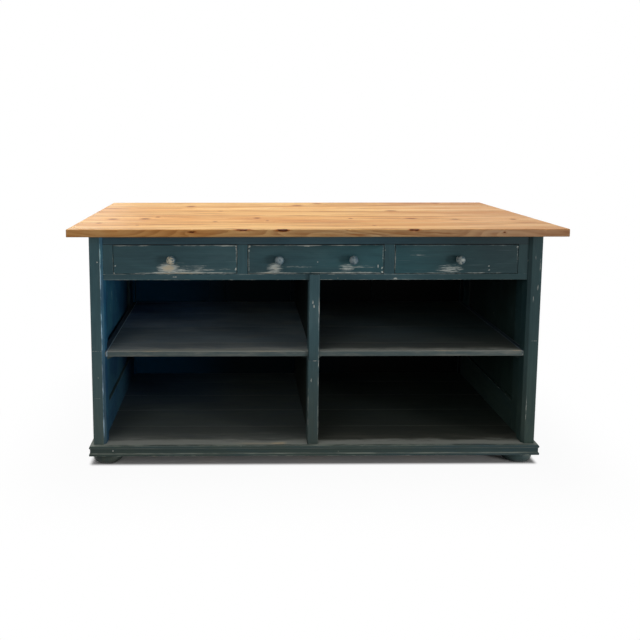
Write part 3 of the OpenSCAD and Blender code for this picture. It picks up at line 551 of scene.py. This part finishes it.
# the right post has only soft marks
rightPostPaint = paintFinish("rightPostPaint", {"tan": 0.2}, spots=[
    (0.796, 0.79, 0.003, 0.012, 0.38), (0.8065, 0.676, 0.0028, 0.012, 0.42),
    (0.7925, 0.632, 0.0024, 0.012, 0.38), (0.802, 0.477, 0.016, 0.0016, 0.38),
    (0.784, 0.225, 0.0014, 0.055, 0.38), (0.8125, 0.76, 0.002, 0.03, 0.35)])
leftPaint = paintFinish("leftPaint", {"paint": rgb(58, 90, 98), "paintDark": rgb(46, 74, 82)},
                        extras=[paintedLightAndShadeInside])
# the left post: its chamfer's edge has rubbed pale all the way down, and its inner faces take painted blue
# light
leftPostPaint = paintFinish("leftPostPaint", {
    "paint": rgb(74, 106, 113), "paintDark": rgb(60, 90, 97), "rubReach": 0.003}, chips=[
    (-0.791, 0.7714, 0.002, 0.002)], spots=[
    (-0.7808, 0.79, 0.0024, 0.04, 0.9), (-0.7808, 0.7, 0.0022, 0.06, 0.85),
    (-0.7808, 0.52, 0.0018, 0.11, 0.7), (-0.7808, 0.3, 0.0016, 0.12, 0.7),
    (-0.7808, 0.16, 0.0022, 0.04, 0.85), (-0.802, 0.441, 0.02, 0.0011, 0.45),
    (-0.8, 0.262, 0.018, 0.001, 0.4)], extras=[paintedLightAndShadeInside])
# the back gets knocked where people stand: low down, and along the posts
backPaint = paintFinish("backPaint", {
    "gloss": 0.06, "scratches": 0.9, "blotch": 1.2, "tan": 0.4, "paint": rgb(72, 104, 112)}, chips=[
    (-0.791, 0.64, 0.003, 0.009), (-0.803, 0.3, 0.004, 0.004), (0.795, 0.52, 0.003, 0.01),
    (0.802, 0.21, 0.004, 0.003), (-0.315, 0.155, 0.005, 0.003), (0.262, 0.128, 0.007, 0.002),
    (0.41, 0.81, 0.006, 0.002)], spots=[
    (-0.12, 0.112, 0.11, 0.006, 0.7), (0.47, 0.105, 0.08, 0.005, 0.6), (-0.62, 0.12, 0.07, 0.007, 0.6),
    (0.06, 0.14, 0.05, 0.004, 0.5), (0.812, 0.4, 0.003, 0.12, 0.6),
    (-0.812, 0.5, 0.003, 0.16, 0.6)], extras=[paintedShadeInside])
# the divider post: its right-hand chamfer has rubbed pale
dividerPostPaint = paintFinish("dividerPostPaint", {
    "paint": rgb(68, 96, 103), "dusty": rgb(66, 74, 68)}, chips=[
    (-0.011, 0.623, 0.002, 0.006), (-0.0062, 0.607, 0.002, 0.006),
    (-0.0135, 0.3316, 0.0015, 0.007)], spots=[
    (0.0125, 0.58, 0.0022, 0.1, 0.5), (0.0125, 0.36, 0.0018, 0.12, 0.42),
    (0.0125, 0.16, 0.0018, 0.08, 0.5), (-0.0245, 0.22, 0.0014, 0.08, 0.4),
    (0.002, 0.4035, 0.01, 0.0016, 0.8)])

# rail under the worktop: painted shade, heights where it begins and is full, at its foot above the drawers
# and under the worktop's overhang
railLook = {"paintedShade": rgb(16, 24, 27), "foot": (0.8372, 0.8350), "shade": (0.8670, 0.8712)}


def railPaintedShade(nt, spot, place, finish, missing, look):
    # painted shade along the rail's foot and under the worktop
    height = axes(spot)[2]
    paintedShade = calc("MAXIMUM", ramp(height, *railLook["foot"], (0.0, 0.9)),
                 ramp(height, *railLook["shade"], (0.0, 0.8)))
    return tint(paintedShade, finish, railLook["paintedShade"]), missing


topRailPaint = paintFinish("topRailPaint", {
    "paint": rgb(60, 88, 100), "paintDark": rgb(48, 74, 84), "rightEnd": (0.40, 0.47, 0.45)},
    extras=[railPaintedShade])

# plinth: pale lines along the lips, part worn and part painted highlight where the light catches them;
# height, half width, how much
lipLook = {"lines": [(0.0838, 0.0007, 0.6), (0.0752, 0.0009, 0.3), (0.0552, 0.0014, 0.5)]}


def lipWearAndHighlight(nt, spot, place, finish, missing, look):
    height = axes(spot)[2]
    broken = cloud(place, "lip")
    for z, half, strong in lipLook["lines"]:
        off = calc("ABSOLUTE", calc("SUBTRACT", height, z))
        line = times(ramp(off, 2.2 * half, 0.4 * half), ramp(broken, 0.38, 0.62, (0.15, strong)))
        finish = tint(line, finish, look["undercoat"])
        missing = calc("MAXIMUM", missing, line)
    return finish, missing


plinthPaint = paintFinish("plinthPaint", {
    "dusty": rgb(58, 70, 64), "faded": rgb(84, 98, 95), "undercoat": rgb(176, 184, 172),
    "scratches": 0.2, "middle": (0.95, 1.0, 1.02), "rightEnd": (0.84, 1.0, 1.18)}, chips=[
    (-0.746, 0.0655, 0.003, 0.002)], extras=[lipWearAndHighlight])

# shelves and base: trodden paint, dusty brown towards the front, worn right along it
shelfLook = {
    "paint": rgb(98, 114, 124), "paintDark": rgb(74, 88, 98), "faded": rgb(142, 144, 136),
    "dusty": rgb(84, 92, 88), "face": rgb(76, 94, 96), "dirt": rgb(106, 108, 102),
    "blotch": 1.2, "seam": 0.75, "roughness": (0.5, 0.7), "scratches": 0.5,
    "rightBayPaintedShade": (0.48, 0.46, 0.42), "shelf": (1.5, 1.55, 1.65), "navyPaintedLight": (0.70, 0.98, 1.50),
}
shelfWear = {
    "front": -0.366, "depth": 0.095, "strip": 0.031, "brown": 0.30,  # y of the edge, reach behind it
    # where the front edge is down to the wood: x, height of the board, half length, how much
    "bare": [
        (-0.2, 0.084, 0.12, 0.3), (-0.132, 0.084, 0.036, 0.7), (-0.6, 0.437, 0.045, 0.5),
        (-0.18, 0.437, 0.08, 0.45), (0.485, 0.437, 0.05, 0.5), (0.745, 0.437, 0.02, 0.7)],
    "bareTone": rgb(214, 196, 164),
}


def frontWear(nt, spot, place, finish, missing, look):
    x, y, height = axes(spot)
    behind = calc("SUBTRACT", y, shelfWear["front"])
    ragged = cloud(place, "tread")
    swing = ramp(ragged, 0.25, 0.75, (-0.5, 0.5), False)

    def zone(key, uneven, far, near):
        # 1 at the front edge, 0 behind the reach of this kind of wear
        return ramp(plus(calc("DIVIDE", behind, shelfWear[key]), uneven), far, near)

    upward = ramp(facing(nt, 2), 0.3, 0.8)
    strip = zone("strip", swing, 1.4, 0.5)
    trodden = times(strip, upward)
    finish = tint(times(zone("brown", times(swing, 0.4), 1.0, 0.0), 0.5), finish, look["dirt"])
    finish = tint(times(zone("depth", swing, 1.0, 0.0), 0.4), finish, look["faded"])
    finish = tint(times(trodden, 0.47), finish, look["undercoat"])
    lip = times(ramp(plus(behind, times(swing, 0.012)), 0.016, 0.006), upward)
    for middle, z, half, amount in shelfWear["bare"]:
        beside = ramp(calc("ABSOLUTE", calc("SUBTRACT", x, middle)), half, 0.3 * half, (0.0, amount))
        level = ramp(calc("ABSOLUTE", calc("SUBTRACT", height, z)), 0.03, 0.02)
        finish = tint(times(times(beside, level), lip), finish, shelfWear["bareTone"])

    # behind the strip: lighter shelves; painted light and shade, bluer at the back of the left bay, darker
    # in the right one
    finish = dye(finish, look["shelf"], times(ramp(height, 0.3, 0.35), ramp(strip, 1.0, 0.0)))
    finish = dye(finish, look["navyPaintedLight"], times(ramp(y, -0.16, 0.2), ramp(x, -0.2, -0.55)))
    clear = calc("SUBTRACT", 1.0, strip)
    finish = dye(finish, look["rightBayPaintedShade"], times(ramp(x, -0.02, 0.02), clear))
    toFront = ramp(times(facing(nt, 1), -1.0), 0.75, 0.95)
    face = tint(ramp(ragged, 0.4, 0.8), look["face"], look["faded"])
    return tint(times(toFront, 0.85), finish, face), calc("MAXIMUM", missing, trodden)


shelfPaint = paintFinish("shelfPaint", shelfLook, extras=[frontWear])

# strips at the shelf ends: a pale worn arris, tinted as painted blue light, that fades towards the right;
# their other faces darkened as painted shade
stripLook = {
    **shelfLook, "arrisTone": rgb(190, 216, 236), "upper": (0.45, 0.55, 0.7),
    "arris": min(abs(v.co.x) for v in nodes["shelf_end_strips"].data.vertices),  # metres from the middle
}


def paleArris(nt, spot, place, finish, missing, look):
    x = axes(spot)[0]
    off = calc("ABSOLUTE", calc("SUBTRACT", look["arris"], calc("ABSOLUTE", x)))
    line = times(ramp(off, 0.0035, 0.001, (0.0, 0.85)), ramp(x, -0.5, 0.5, (1.0, 0.12)))
    finish = dye(finish, look["upper"], ramp(facing(nt, 1), -0.9, -0.5))
    return tint(line, finish, look["arrisTone"]), missing


stripPaint = paintFinish("stripPaint", stripLook, extras=[paleArris])
# painted shade: the bearers, the right panel and the divider are coated dark inside the bays
innerPaint = paintFinish("innerPaint", {
    "paint": rgb(54, 70, 68), "paintDark": rgb(40, 53, 50), "faded": rgb(92, 106, 104),
    "blotch": 1.4}, extras=[paintedShadeInside])
rightPanelPaint = paintFinish("rightPanelPaint", {
    "paint": rgb(62, 76, 76), "paintDark": rgb(48, 61, 60), "dusty": rgb(62, 76, 70),
    "outside": (1.55, 1.95, 2.35)}, extras=[clearPaintedShadeOutside])
dividerPaint = paintFinish("dividerPaint", {
    "paint": rgb(28, 33, 32), "paintDark": rgb(20, 25, 24), "faded": rgb(48, 52, 48),
    "dusty": rgb(44, 46, 41), "gloss": 0.1, "outside": (1.4, 1.9, 2.1)}, extras=[clearPaintedShadeOutside])

# drawer fronts
drawerLook = {
    "paint": rgb(64, 96, 103), "paintDark": rgb(54, 82, 89), "chalk": rgb(232, 238, 230),
    # gap: painted shade on the sides of a front
    "wood": rgb(240, 216, 170), "woodDark": rgb(212, 182, 134), "gap": rgb(16, 24, 27),
    "rubReach": 0.0024, "bareReach": 0.0003, "scratches": 0.6,
    "middle": (0.55, 0.80, 0.82), "rightEnd": (0.55, 0.50, 0.50),
}
# how each is worn, as in wearSpots and chipOff
drawerWear = {
    "left_drawer": {
        "tan": 0.6,
        "spots": [
            (-0.536, 0.747, 0.034, 0.017, 1.35), (-0.5, 0.742, 0.08, 0.009, 0.55),
            (-0.47, 0.7295, 0.16, 0.0042, 1.1), (-0.555, 0.729, 0.05, 0.0038, 1.1),
            (-0.4, 0.745, 0.1, 0.006, 0.38), (-0.44, 0.7555, 0.06, 0.003, 0.32),
            (-0.66, 0.8305, 0.06, 0.0014, 0.7), (-0.42, 0.8303, 0.09, 0.0013, 0.7),
            (-0.32, 0.83, 0.03, 0.0024, 0.9), (-0.2892, 0.79, 0.0016, 0.03, 0.7),
            (-0.52, 0.7675, 0.05, 0.0022, 0.4)],
        "chips": [
            (-0.734, 0.7306, 0.003, 0.003), (-0.727, 0.7564, 0.003, 0.0018),
            (-0.289, 0.8273, 0.005, 0.0035), (-0.2885, 0.818, 0.0025, 0.006),
            (-0.291, 0.7446, 0.003, 0.004)]},
    "middle_drawer": {
        "tan": 0.4,
        "spots": [
            (-0.149, 0.748, 0.026, 0.017, 0.95), (-0.165, 0.7295, 0.055, 0.0042, 1.1),
            (-0.09, 0.7295, 0.08, 0.003, 0.7), (0.111, 0.749, 0.028, 0.014, 0.7),
            (0.09, 0.7295, 0.1, 0.004, 0.9), (0.17, 0.7295, 0.06, 0.003, 0.8),
            (-0.06, 0.752, 0.07, 0.004, 0.36), (0.17, 0.752, 0.05, 0.005, 0.55),
            (-0.18, 0.8303, 0.05, 0.0014, 0.6), (-0.03, 0.8303, 0.05, 0.0018, 0.8),
            (0.12, 0.8303, 0.08, 0.0014, 0.6), (0.243, 0.8, 0.0014, 0.03, 0.6),
            (-0.2432, 0.77, 0.0014, 0.04, 0.7)],
        "chips": [
            (-0.242, 0.8273, 0.004, 0.004), (-0.243, 0.812, 0.0025, 0.004),
            (-0.033, 0.8288, 0.014, 0.0018), (0.241, 0.7327, 0.004, 0.003), (0.226, 0.7549, 0.002, 0.005),
            (0.24, 0.7475, 0.002, 0.004), (0.007, 0.77, 0.0022, 0.002)]},
    "right_drawer": {
        "tan": 0.15,
        "spots": [
            (0.484, 0.744, 0.044, 0.015, 0.68), (0.47, 0.7292, 0.07, 0.0026, 0.6),
            (0.6, 0.7292, 0.08, 0.0018, 0.45), (0.33, 0.8303, 0.04, 0.001, 0.35),
            (0.68, 0.83, 0.04, 0.0012, 0.55), (0.7315, 0.79, 0.001, 0.035, 0.5),
            (0.37, 0.795, 0.05, 0.003, 0.22)],
        "chips": [
            (0.2885, 0.777, 0.0009, 0.03), (0.63, 0.7542, 0.003, 0.0016), (0.632, 0.7394, 0.004, 0.0016),
            (0.733, 0.8241, 0.006, 0.002)]},
}


def paintedGapShade(nt, spot, place, finish, missing, look):
    # the sides of a front are painted dark as the shade in the gap round it, so the gap reads as a line
    return tint(ramp(calc("ABSOLUTE", facing(nt, 1)), 0.6, 0.3), finish, look["gap"]), missing


# knobs: handled so long that the paint has gone from the faces
knobLook = {
    "paint": rgb(92, 120, 134), "paintDark": rgb(70, 96, 110), "roughness": (0.3, 0.45),
    "scratches": 0.0, "rubReach": 0.0, "bareReach": 0.0, "blotch": 0.0,
    "middle": (1.0, 1.0, 1.0), "rightEnd": (0.85, 0.88, 0.84),
}
# what shows under the paint and how much of it
knobWear = {
    "left_drawer": {"undercoat": rgb(238, 228, 200), "shown": 0.95},
    "middle_drawer": {"undercoat": rgb(204, 216, 216), "shown": 0.45},
    "right_drawer": {"undercoat": rgb(214, 220, 212), "shown": 0.72},
}


def handledFace(nt, spot, place, finish, missing, look):
    towards = calc("SUBTRACT", times(facing(nt, 1), -0.9), times(facing(nt, 0), 0.45))
    front = plus(towards, wander(cloud(spot, "handled"), 0.75, 0.28, 0.72))
    face = ramp(front, 0.2, 1.1, (0.0, look["shown"]))
    return tint(face, finish, look["undercoat"]), calc("MAXIMUM", missing, face)


drawerPaints, knobPaints = {}, {}
for drawer, wear in drawerWear.items():
    side = drawer.split("_")[0]
    drawerPaints[drawer] = paintFinish(side + "DrawerPaint", {**drawerLook, "tan": wear["tan"]},
                                       wear["spots"], wear["chips"], [paintedGapShade])
    knobPaints[drawer] = paintFinish(side + "KnobPaint", {**knobLook, **knobWear[drawer]},
                                     extras=[handledFace])

# feet: darker towards the floor, heights where it starts and is full
footLook = {
    "paint": rgb(56, 72, 72), "dusty": rgb(64, 72, 64), "rightEnd": (0.95, 1.2, 1.5),
    "rubReach": 0.0, "bareReach": 0.0, "bottomFrom": (0.028, 0.004), "bottomTone": (0.42, 0.42, 0.40),
}


def darkerFootBottom(nt, spot, place, finish, missing, look):
    return dye(finish, look["bottomTone"], ramp(axes(spot)[2], *look["bottomFrom"])), missing


footPaint = paintFinish("footPaint", footLook, extras=[darkerFootBottom])

steelLook = {"bright": rgb(150, 146, 138), "rusty": rgb(96, 84, 72), "roughness": (0.35, 0.6)}


def steelFinish(look):
    mat, nt, skin = newFinish("screwSteel")
    dull = cloud(objectSpot(nt), "dull")
    feed(skin, {"Base Color": tint(ramp(dull, 0.35, 0.7), look["bright"], look["rusty"]),
                "Roughness": ramp(dull, 0.2, 0.8, look["roughness"], False), "Metallic": 1.0})
    return mat


screwSteel = steelFinish(steelLook)
print("paint finishes made")


# worktop boards, planed and dented
boardLook = {
    "count": 5, "thick": 0.028, "front": topLook["front"], "width": 0.17, "halfLength": 0.885,
    "top": topLook["top"],
    "tongue": 0.007, "tongueThick": 0.006, "slack": 0.0002,
    "outerRound": 0.003, "joint": 0.0007,           # rounding of the outer edges; easing at the joints
    "end": (0.0008, 0.0007),                        # easing of the ends: how long and how deep
    "cuts": 131, "dentCuts": 17, "dentReach": 2.2,  # how finely the length is cut, also at a dent
    "cup": 0.0005, "wave": 0.00035,                 # hollow of each board, and its unevenness
    "skin": 0.006,                                  # depth under the top that follows hollow and waves
    "rub": (0.00025, 0.004),                        # wear of the front top edge: how deep, how far in
    "dentDepth": 0.0075,                            # how far in a dent reaches
    "tones": (0.25, 0.75, 0.35, 0.95, 0.5),         # how light each board is, front to back
    # dents in the front top edge: x, half width, depth
    "dents": [
        (-0.265, 0.022, 0.0034), (-0.125, 0.014, 0.0028), (0.337, 0.016, 0.0032), (-0.444, 0.007, 0.0012),
        (0.654, 0.005, 0.001), (-0.71, 0.01, 0.001), (0.11, 0.008, 0.0009), (0.8, 0.009, 0.0012)],
}


def boardSides(i, look):
    return look["front"] + i * look["width"], look["front"] + (i + 1) * look["width"]


def between(a, b, n):
    # the n - 1 points that cut a line from a to b into n
    return [(a[0] + (b[0] - a[0]) * k / n, a[1] + (b[1] - a[1]) * k / n) for k in range(1, n)]


def roundCorner(y, z, dy, dz, radius, steps):
    # rounds the corner at y, z whose body lies towards dy, dz
    cy, cz = y + dy * radius, z + dz * radius
    start = math.atan2(-dz, 0) if dy * dz < 0 else math.atan2(0, -dy)
    turns = [start + k / steps * math.pi / 2 for k in range(steps + 1)]
    return [(cy + radius * math.cos(a), cz + radius * math.sin(a)) for a in turns]


def boardSection(i, look):
    # outline of board i in y and z, anticlockwise seen from +X
    y0, y1 = boardSides(i, look)
    z0, z1 = look["top"] - look["thick"], look["top"]
    t0, t1 = (z0 + z1 - look["tongueThick"]) / 2, (z0 + z1 + look["tongueThick"]) / 2
    tongue, slack = look["tongue"], look["slack"]
    isFirst, isLast = i == 0, i == look["count"] - 1
    front = (look["outerRound"], 4) if isFirst else (look["joint"], 2)
    back = (look["outerRound"], 4) if isLast else (look["joint"], 2)
    out = roundCorner(y0, z0, 1, 1, *front) + between((y0, z0), (y1, z0), 4)
    out += roundCorner(y1, z0, -1, 1, *back)
    if not isLast:
        inner = y1 - tongue - slack
        out += [(y1, t0 - slack), (inner, t0 - slack), (inner, t1 + slack), (y1, t1 + slack)]
    out += roundCorner(y1, z1, -1, -1, *back) + between((y1, z1), (y0, z1), 18)
    if isFirst:
        return out + roundCorner(y0, z1, 1, -1, look["outerRound"], 6) + between((y0, z1), (y0, z0), 6)
    tongueSides = [(y0, t1), (y0 - tongue, t1), (y0 - tongue, t0), (y0, t0)]
    return out + roundCorner(y0, z1, 1, -1, *front) + tongueSides


def boardStations(i, look):
    # where the board is cut along x: evenly, at its eased ends, and closer at the dents
    half, ease = look["halfLength"], look["end"][0]
    stations = set(np.round(np.linspace(-half, half, look["cuts"]), 5)) | {ease - half, half - ease}
    if i == 0:
        for x, wide, _ in look["dents"]:
            reach = look["dentReach"] * wide
            stations |= set(np.round(np.linspace(x - reach, x + reach, look["dentCuts"]), 5))
    return sorted(stations)


def frontWearAt(x, y, z, look):
    # how far the front top edge has gone at a point, down and inward
    away = math.hypot(y - look["front"], z - look["top"])
    deep, reach = look["rub"]
    worn = deep * (1 + math.sin(x * 41) * math.sin(x * 17 + 1)) * math.exp(-(away / reach) ** 2)
    down, inward = worn, worn
    for middle, wide, dented in look["dents"]:
        along = math.exp(-((x - middle) / wide) ** 2 * 2.2)
        dent = dented * along * math.exp(-(away / look["dentDepth"]) ** 2)
        down += dent * 0.8
        inward += dent
    return down, inward


def boardPoint(i, x, y, z, waves, look):
    y0, y1 = boardSides(i, look)
    down, inward = 0.0, 0.0
    if z > look["top"] - look["skin"]:
        t = (y - y0) / (y1 - y0)
        ripple = sum(math.sin(x * a + b + y * c) for a, b, c in waves) / len(waves)
        down = look["cup"] * 4 * max(0, t * (1 - t))
        down += look["wave"] * 0.5 * (1 + ripple)
    if i == 0:
        wornDown, inward = frontWearAt(x, y, z, look)
        down += wornDown
    yy, zz = y + inward, z - down
    if abs(x) > look["halfLength"] - 1e-6:
        ease, middle = look["end"][1], (y0 + y1) / 2
        yy += math.copysign(min(ease, abs(yy - middle)), middle - yy)
        zz += math.copysign(ease, look["top"] - look["thick"] / 2 - zz)
    return x, yy, zz


def makeTopBoard(i, look):
    dice = random.Random(70 + i)
    waves = [(dice.uniform(2, 9), dice.uniform(0, 6.3), dice.uniform(10, 40)) for _ in range(5)]
    section = boardSection(i, look)
    shell = bmesh.new()
    rows = [[shell.verts.new(boardPoint(i, x, y, z, waves, look)) for y, z in section]
            for x in boardStations(i, look)]
    n = len(section)
    for a, b in zip(rows, rows[1:]):
        for k in range(n):
            shell.faces.new((a[k], b[k], b[(k + 1) % n], a[(k + 1) % n]))
    shell.faces.new(rows[0])
    shell.faces.new(rows[-1][::-1])
    bmesh.ops.recalc_face_normals(shell, faces=shell.faces)
    mesh = bpy.data.meshes.new(f"topBoard{i + 1}")
    shell.to_mesh(mesh)
    shell.free()
    mesh.polygons.foreach_set("use_smooth", [True] * len(mesh.polygons))
    mesh.set_sharp_from_angle(angle=math.radians(32))
    board = bpy.data.objects.new(f"topBoard{i + 1}", mesh)
    scene.collection.objects.link(board)
    mesh.materials.append(waxedPine)
    half, (y0, y1) = look["halfLength"], boardSides(i, look)
    box = (np.array([-half, y0, look["top"] - look["thick"]]), np.array([half, y1, look["top"]]))
    layGrain(board, box=box, shade=look["tones"][i])
    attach(board, "cabinet")
    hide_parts(f"top_board_{i + 1}")


for i in range(boardLook["count"]):
    makeTopBoard(i, boardLook)
print("worktop boards made")


# finishes and eased edges of the pieces that stay as packed
# node: finish, how much its long edges and its ends are rubbed, easing of its edges in metres
dress = {
    "post_front_left": (leftPostPaint, 1, 0.2, 0.0012), "post_front_right": (rightPostPaint, 1, 0.2, 0.0012),
    "post_back_left": (backPaint, 1.4, 0.3, 0.0012), "post_back_right": (backPaint, 1.4, 0.3, 0.0012),
    "left_side_stiles": (leftPaint, 0.25, 0, 0.0008), "right_side_stiles": (carcasePaint, 0.25, 0, 0.0008),
    "left_side_rails": (leftPaint, 0.3, 0, 0.0008), "right_side_rails": (carcasePaint, 0.3, 0, 0.0008),
    "left_side_panel": (leftPaint, 0, 0.0, 0), "right_side_panel": (rightPanelPaint, 0, 0.0, 0),
    "back_rails": (backPaint, 0.7, 0, 0.0008), "back_muntins": (backPaint, 0.8, 0, 0.0008),
    "back_panels": (backPaint, 0, 0.0, 0),
    "front_top_rail": (topRailPaint, 0.5, 0, 0.0006), "drawer_rail": (carcasePaint, 1.2, 0, 0.001),
    "front_uprights": (carcasePaint, 0.5, 0, 0.0006),
    "divider_post": (dividerPostPaint, 0.8, 0.4, 0.0008), "divider_boards": (dividerPaint, 0.1, 0, 0.0006),
    "left_shelf_boards": (shelfPaint, 0.9, 0, 0.0008), "right_shelf_boards": (shelfPaint, 0.9, 0, 0.0008),
    "shelf_end_strips": (stripPaint, 0.6, 0.2, 0.0008), "shelf_bearers": (innerPaint, 0.6, 0.6, 0.0008),
    "base_boards": (shelfPaint, 0.8, 0, 0.0008),
    "plinth_front": (plinthPaint, 1.3, 0.3, 0), "plinth_back": (plinthPaint, 0.8, 0.3, 0),
    "plinth_left": (plinthPaint, 1.1, 0.3, 0), "plinth_right": (plinthPaint, 1.1, 0.3, 0),
    "kickers": (barePine, 0, 0, 0), "drawer_runners": (barePine, 0, 0, 0.0008),
    "drawer_stops": (barePine, 0, 0, 0.0008), "divider_head": (barePine, 0, 0, 0.0008),
    "base_battens": (barePine, 0, 0, 0), "top_screws": (screwSteel, 0, 0, 0),
}
for corner in ("front_left", "front_right", "back_left", "back_right"):
    dress["foot_" + corner] = (footPaint, 0, 0, 0)
for drawer in drawerWear:
    many = "s" if drawer == "middle_drawer" else ""  # the middle drawer has two knobs
    dress[f"{drawer}_front"] = (drawerPaints[drawer], 1.0, 1.2, 0.0006)
    for part in ("sides", "back", "bottom"):
        dress[f"{drawer}_{part}"] = (barePine, 0, 0, 0)
    dress[f"{drawer}_knob{many}"] = (knobPaints[drawer], 0, 0, 0)
    dress[f"{drawer}_screw{many}"] = (screwSteel, 0, 0, 0)


def easeEdges(thing, width):
    weld = thing.modifiers.new("weld", "WELD")
    weld.merge_threshold = 0.00001
    flat = thing.modifiers.new("flat", "DECIMATE")
    flat.decimate_type = "DISSOLVE"
    flat.angle_limit = math.radians(0.5)
    bevel = thing.modifiers.new("ease", "BEVEL")
    bevel.width = width
    bevel.segments = 2
    bevel.limit_method = "ANGLE"
    bevel.angle_limit = math.radians(30)
    bevel.use_clamp_overlap = False


for name, thing in nodes.items():
    if name.startswith("top_board"):
        continue
    finish, rubLong, rubEnd, ease = dress[name]
    thing.data.materials.clear()
    thing.data.materials.append(finish)
    layGrain(thing, rubLong, rubEnd)
    if ease:
        easeEdges(thing, ease)
print("carcase and drawers dressed")


# floor: takes the shadow under the island, then fades into the white
floorLook = {
    "size": 30.0, "pale": (0.80, 0.80, 0.80), "bounce": (0.25, 0.25, 0.25),
    "under": (0.825, 0.349),  # half size of the shadow's core
    "soft": (0.022, 0.5),     # how it fades, next to the core and far out
}


def makeFloor(look):
    s = look["size"] / 2
    mesh = bpy.data.meshes.new("floor")
    mesh.from_pydata([(-s, -s, 0), (s, -s, 0), (s, s, 0), (-s, s, 0)], [], [(0, 1, 2, 3)])
    floor = bpy.data.objects.new("floor", mesh)
    scene.collection.objects.link(floor)
    mat, nt, skin = newFinish("floorPaper")
    nt.nodes.remove(skin)
    straight = straightRays(nt)
    paper = put("BsdfDiffuse", {"Color": tint(straight, look["bounce"], look["pale"])}).outputs[0]
    glow = put("Emission", {"Color": (1, 1, 1, 1), "Strength": 1.0}, nt).outputs[0]
    beyond = vec("SUBTRACT", vec("ABSOLUTE", objectSpot(nt)), (*look["under"], 1))
    away = vec("LENGTH", vec("MAXIMUM", beyond, (0, 0, 0)))
    near, wide = look["soft"]
    far = plus(ramp(away, 0.0, near, (0.0, 0.95)), ramp(away, 0.0, wide, (0.0, 0.05)))
    both = put("MixShader", {0: times(far, straight), 1: paper, 2: glow}).outputs[0]
    nt.links.new(both, nt.nodes["Material Output"].inputs["Surface"])
    mesh.materials.append(mat)


makeFloor(floorLook)

lightLook = {
    "sky": 0.14,
    # name: place, aimed at, size, watts
    "lamps": {
        "key": ((6.0, -4.2, 1.05), (-0.1, -0.3, 0.6), 1.7, 170),
        "soft": ((-2.0, -3.0, 2.3), (-0.2, -0.2, 0.5), 2.2, 17),
        "over": ((-0.4, -0.05, 3.3), (0, 0, 0.9), 2.4, 59),
        "behind": ((-2.4, 3.6, 1.5), (0, 0.3, 0.5), 2.2, 32),
    },
}


def makeLight(look):
    world = bpy.data.worlds.new("studio")
    world.use_nodes = True
    nt = world.node_tree
    feed(nt.nodes["Background"], {
        "Color": (1, 1, 1, 1), "Strength": ramp(straightRays(nt), 0.0, 1.0, (look["sky"], 1.0), False)})
    scene.world = world
    for name, (place, aim, size, watts) in look["lamps"].items():
        lamp = bpy.data.lights.new(name, "AREA")
        lamp.shape = "DISK"
        lamp.size = size
        lamp.energy = watts
        stand = bpy.data.objects.new(name, lamp)
        stand.location = place
        stand.rotation_euler = (Vector(aim) - Vector(place)).to_track_quat("-Z", "Y").to_euler()
        scene.collection.objects.link(stand)


makeLight(lightLook)

# place in metres; degrees turned right, tipped down and rolled; lens in millimetres
cameraLook = {
    "place": (-0.2751, -2.6186, 1.2381), "right": 0.357, "down": 5.746, "roll": -0.015, "lens": 35.6,
    "shift": (0.11875, -0.19375),
}


def makeCamera(look):
    data = bpy.data.cameras.new("camera")
    data.sensor_width = 36
    data.lens = look["lens"]
    data.shift_x, data.shift_y = look["shift"]
    data.clip_end = 100
    camera = bpy.data.objects.new("camera", data)
    turn = Matrix.Rotation(-math.radians(look["right"]), 4, "Z")
    turn = turn @ Matrix.Rotation(math.radians(90 - look["down"]), 4, "X")
    roll = Matrix.Rotation(math.radians(look["roll"]), 4, "Z")
    camera.matrix_world = Matrix.Translation(look["place"]) @ turn @ roll
    scene.collection.objects.link(camera)
    scene.camera = camera


makeCamera(cameraLook)
scene.view_settings.view_transform = "Standard"
print("floor, light and camera set")
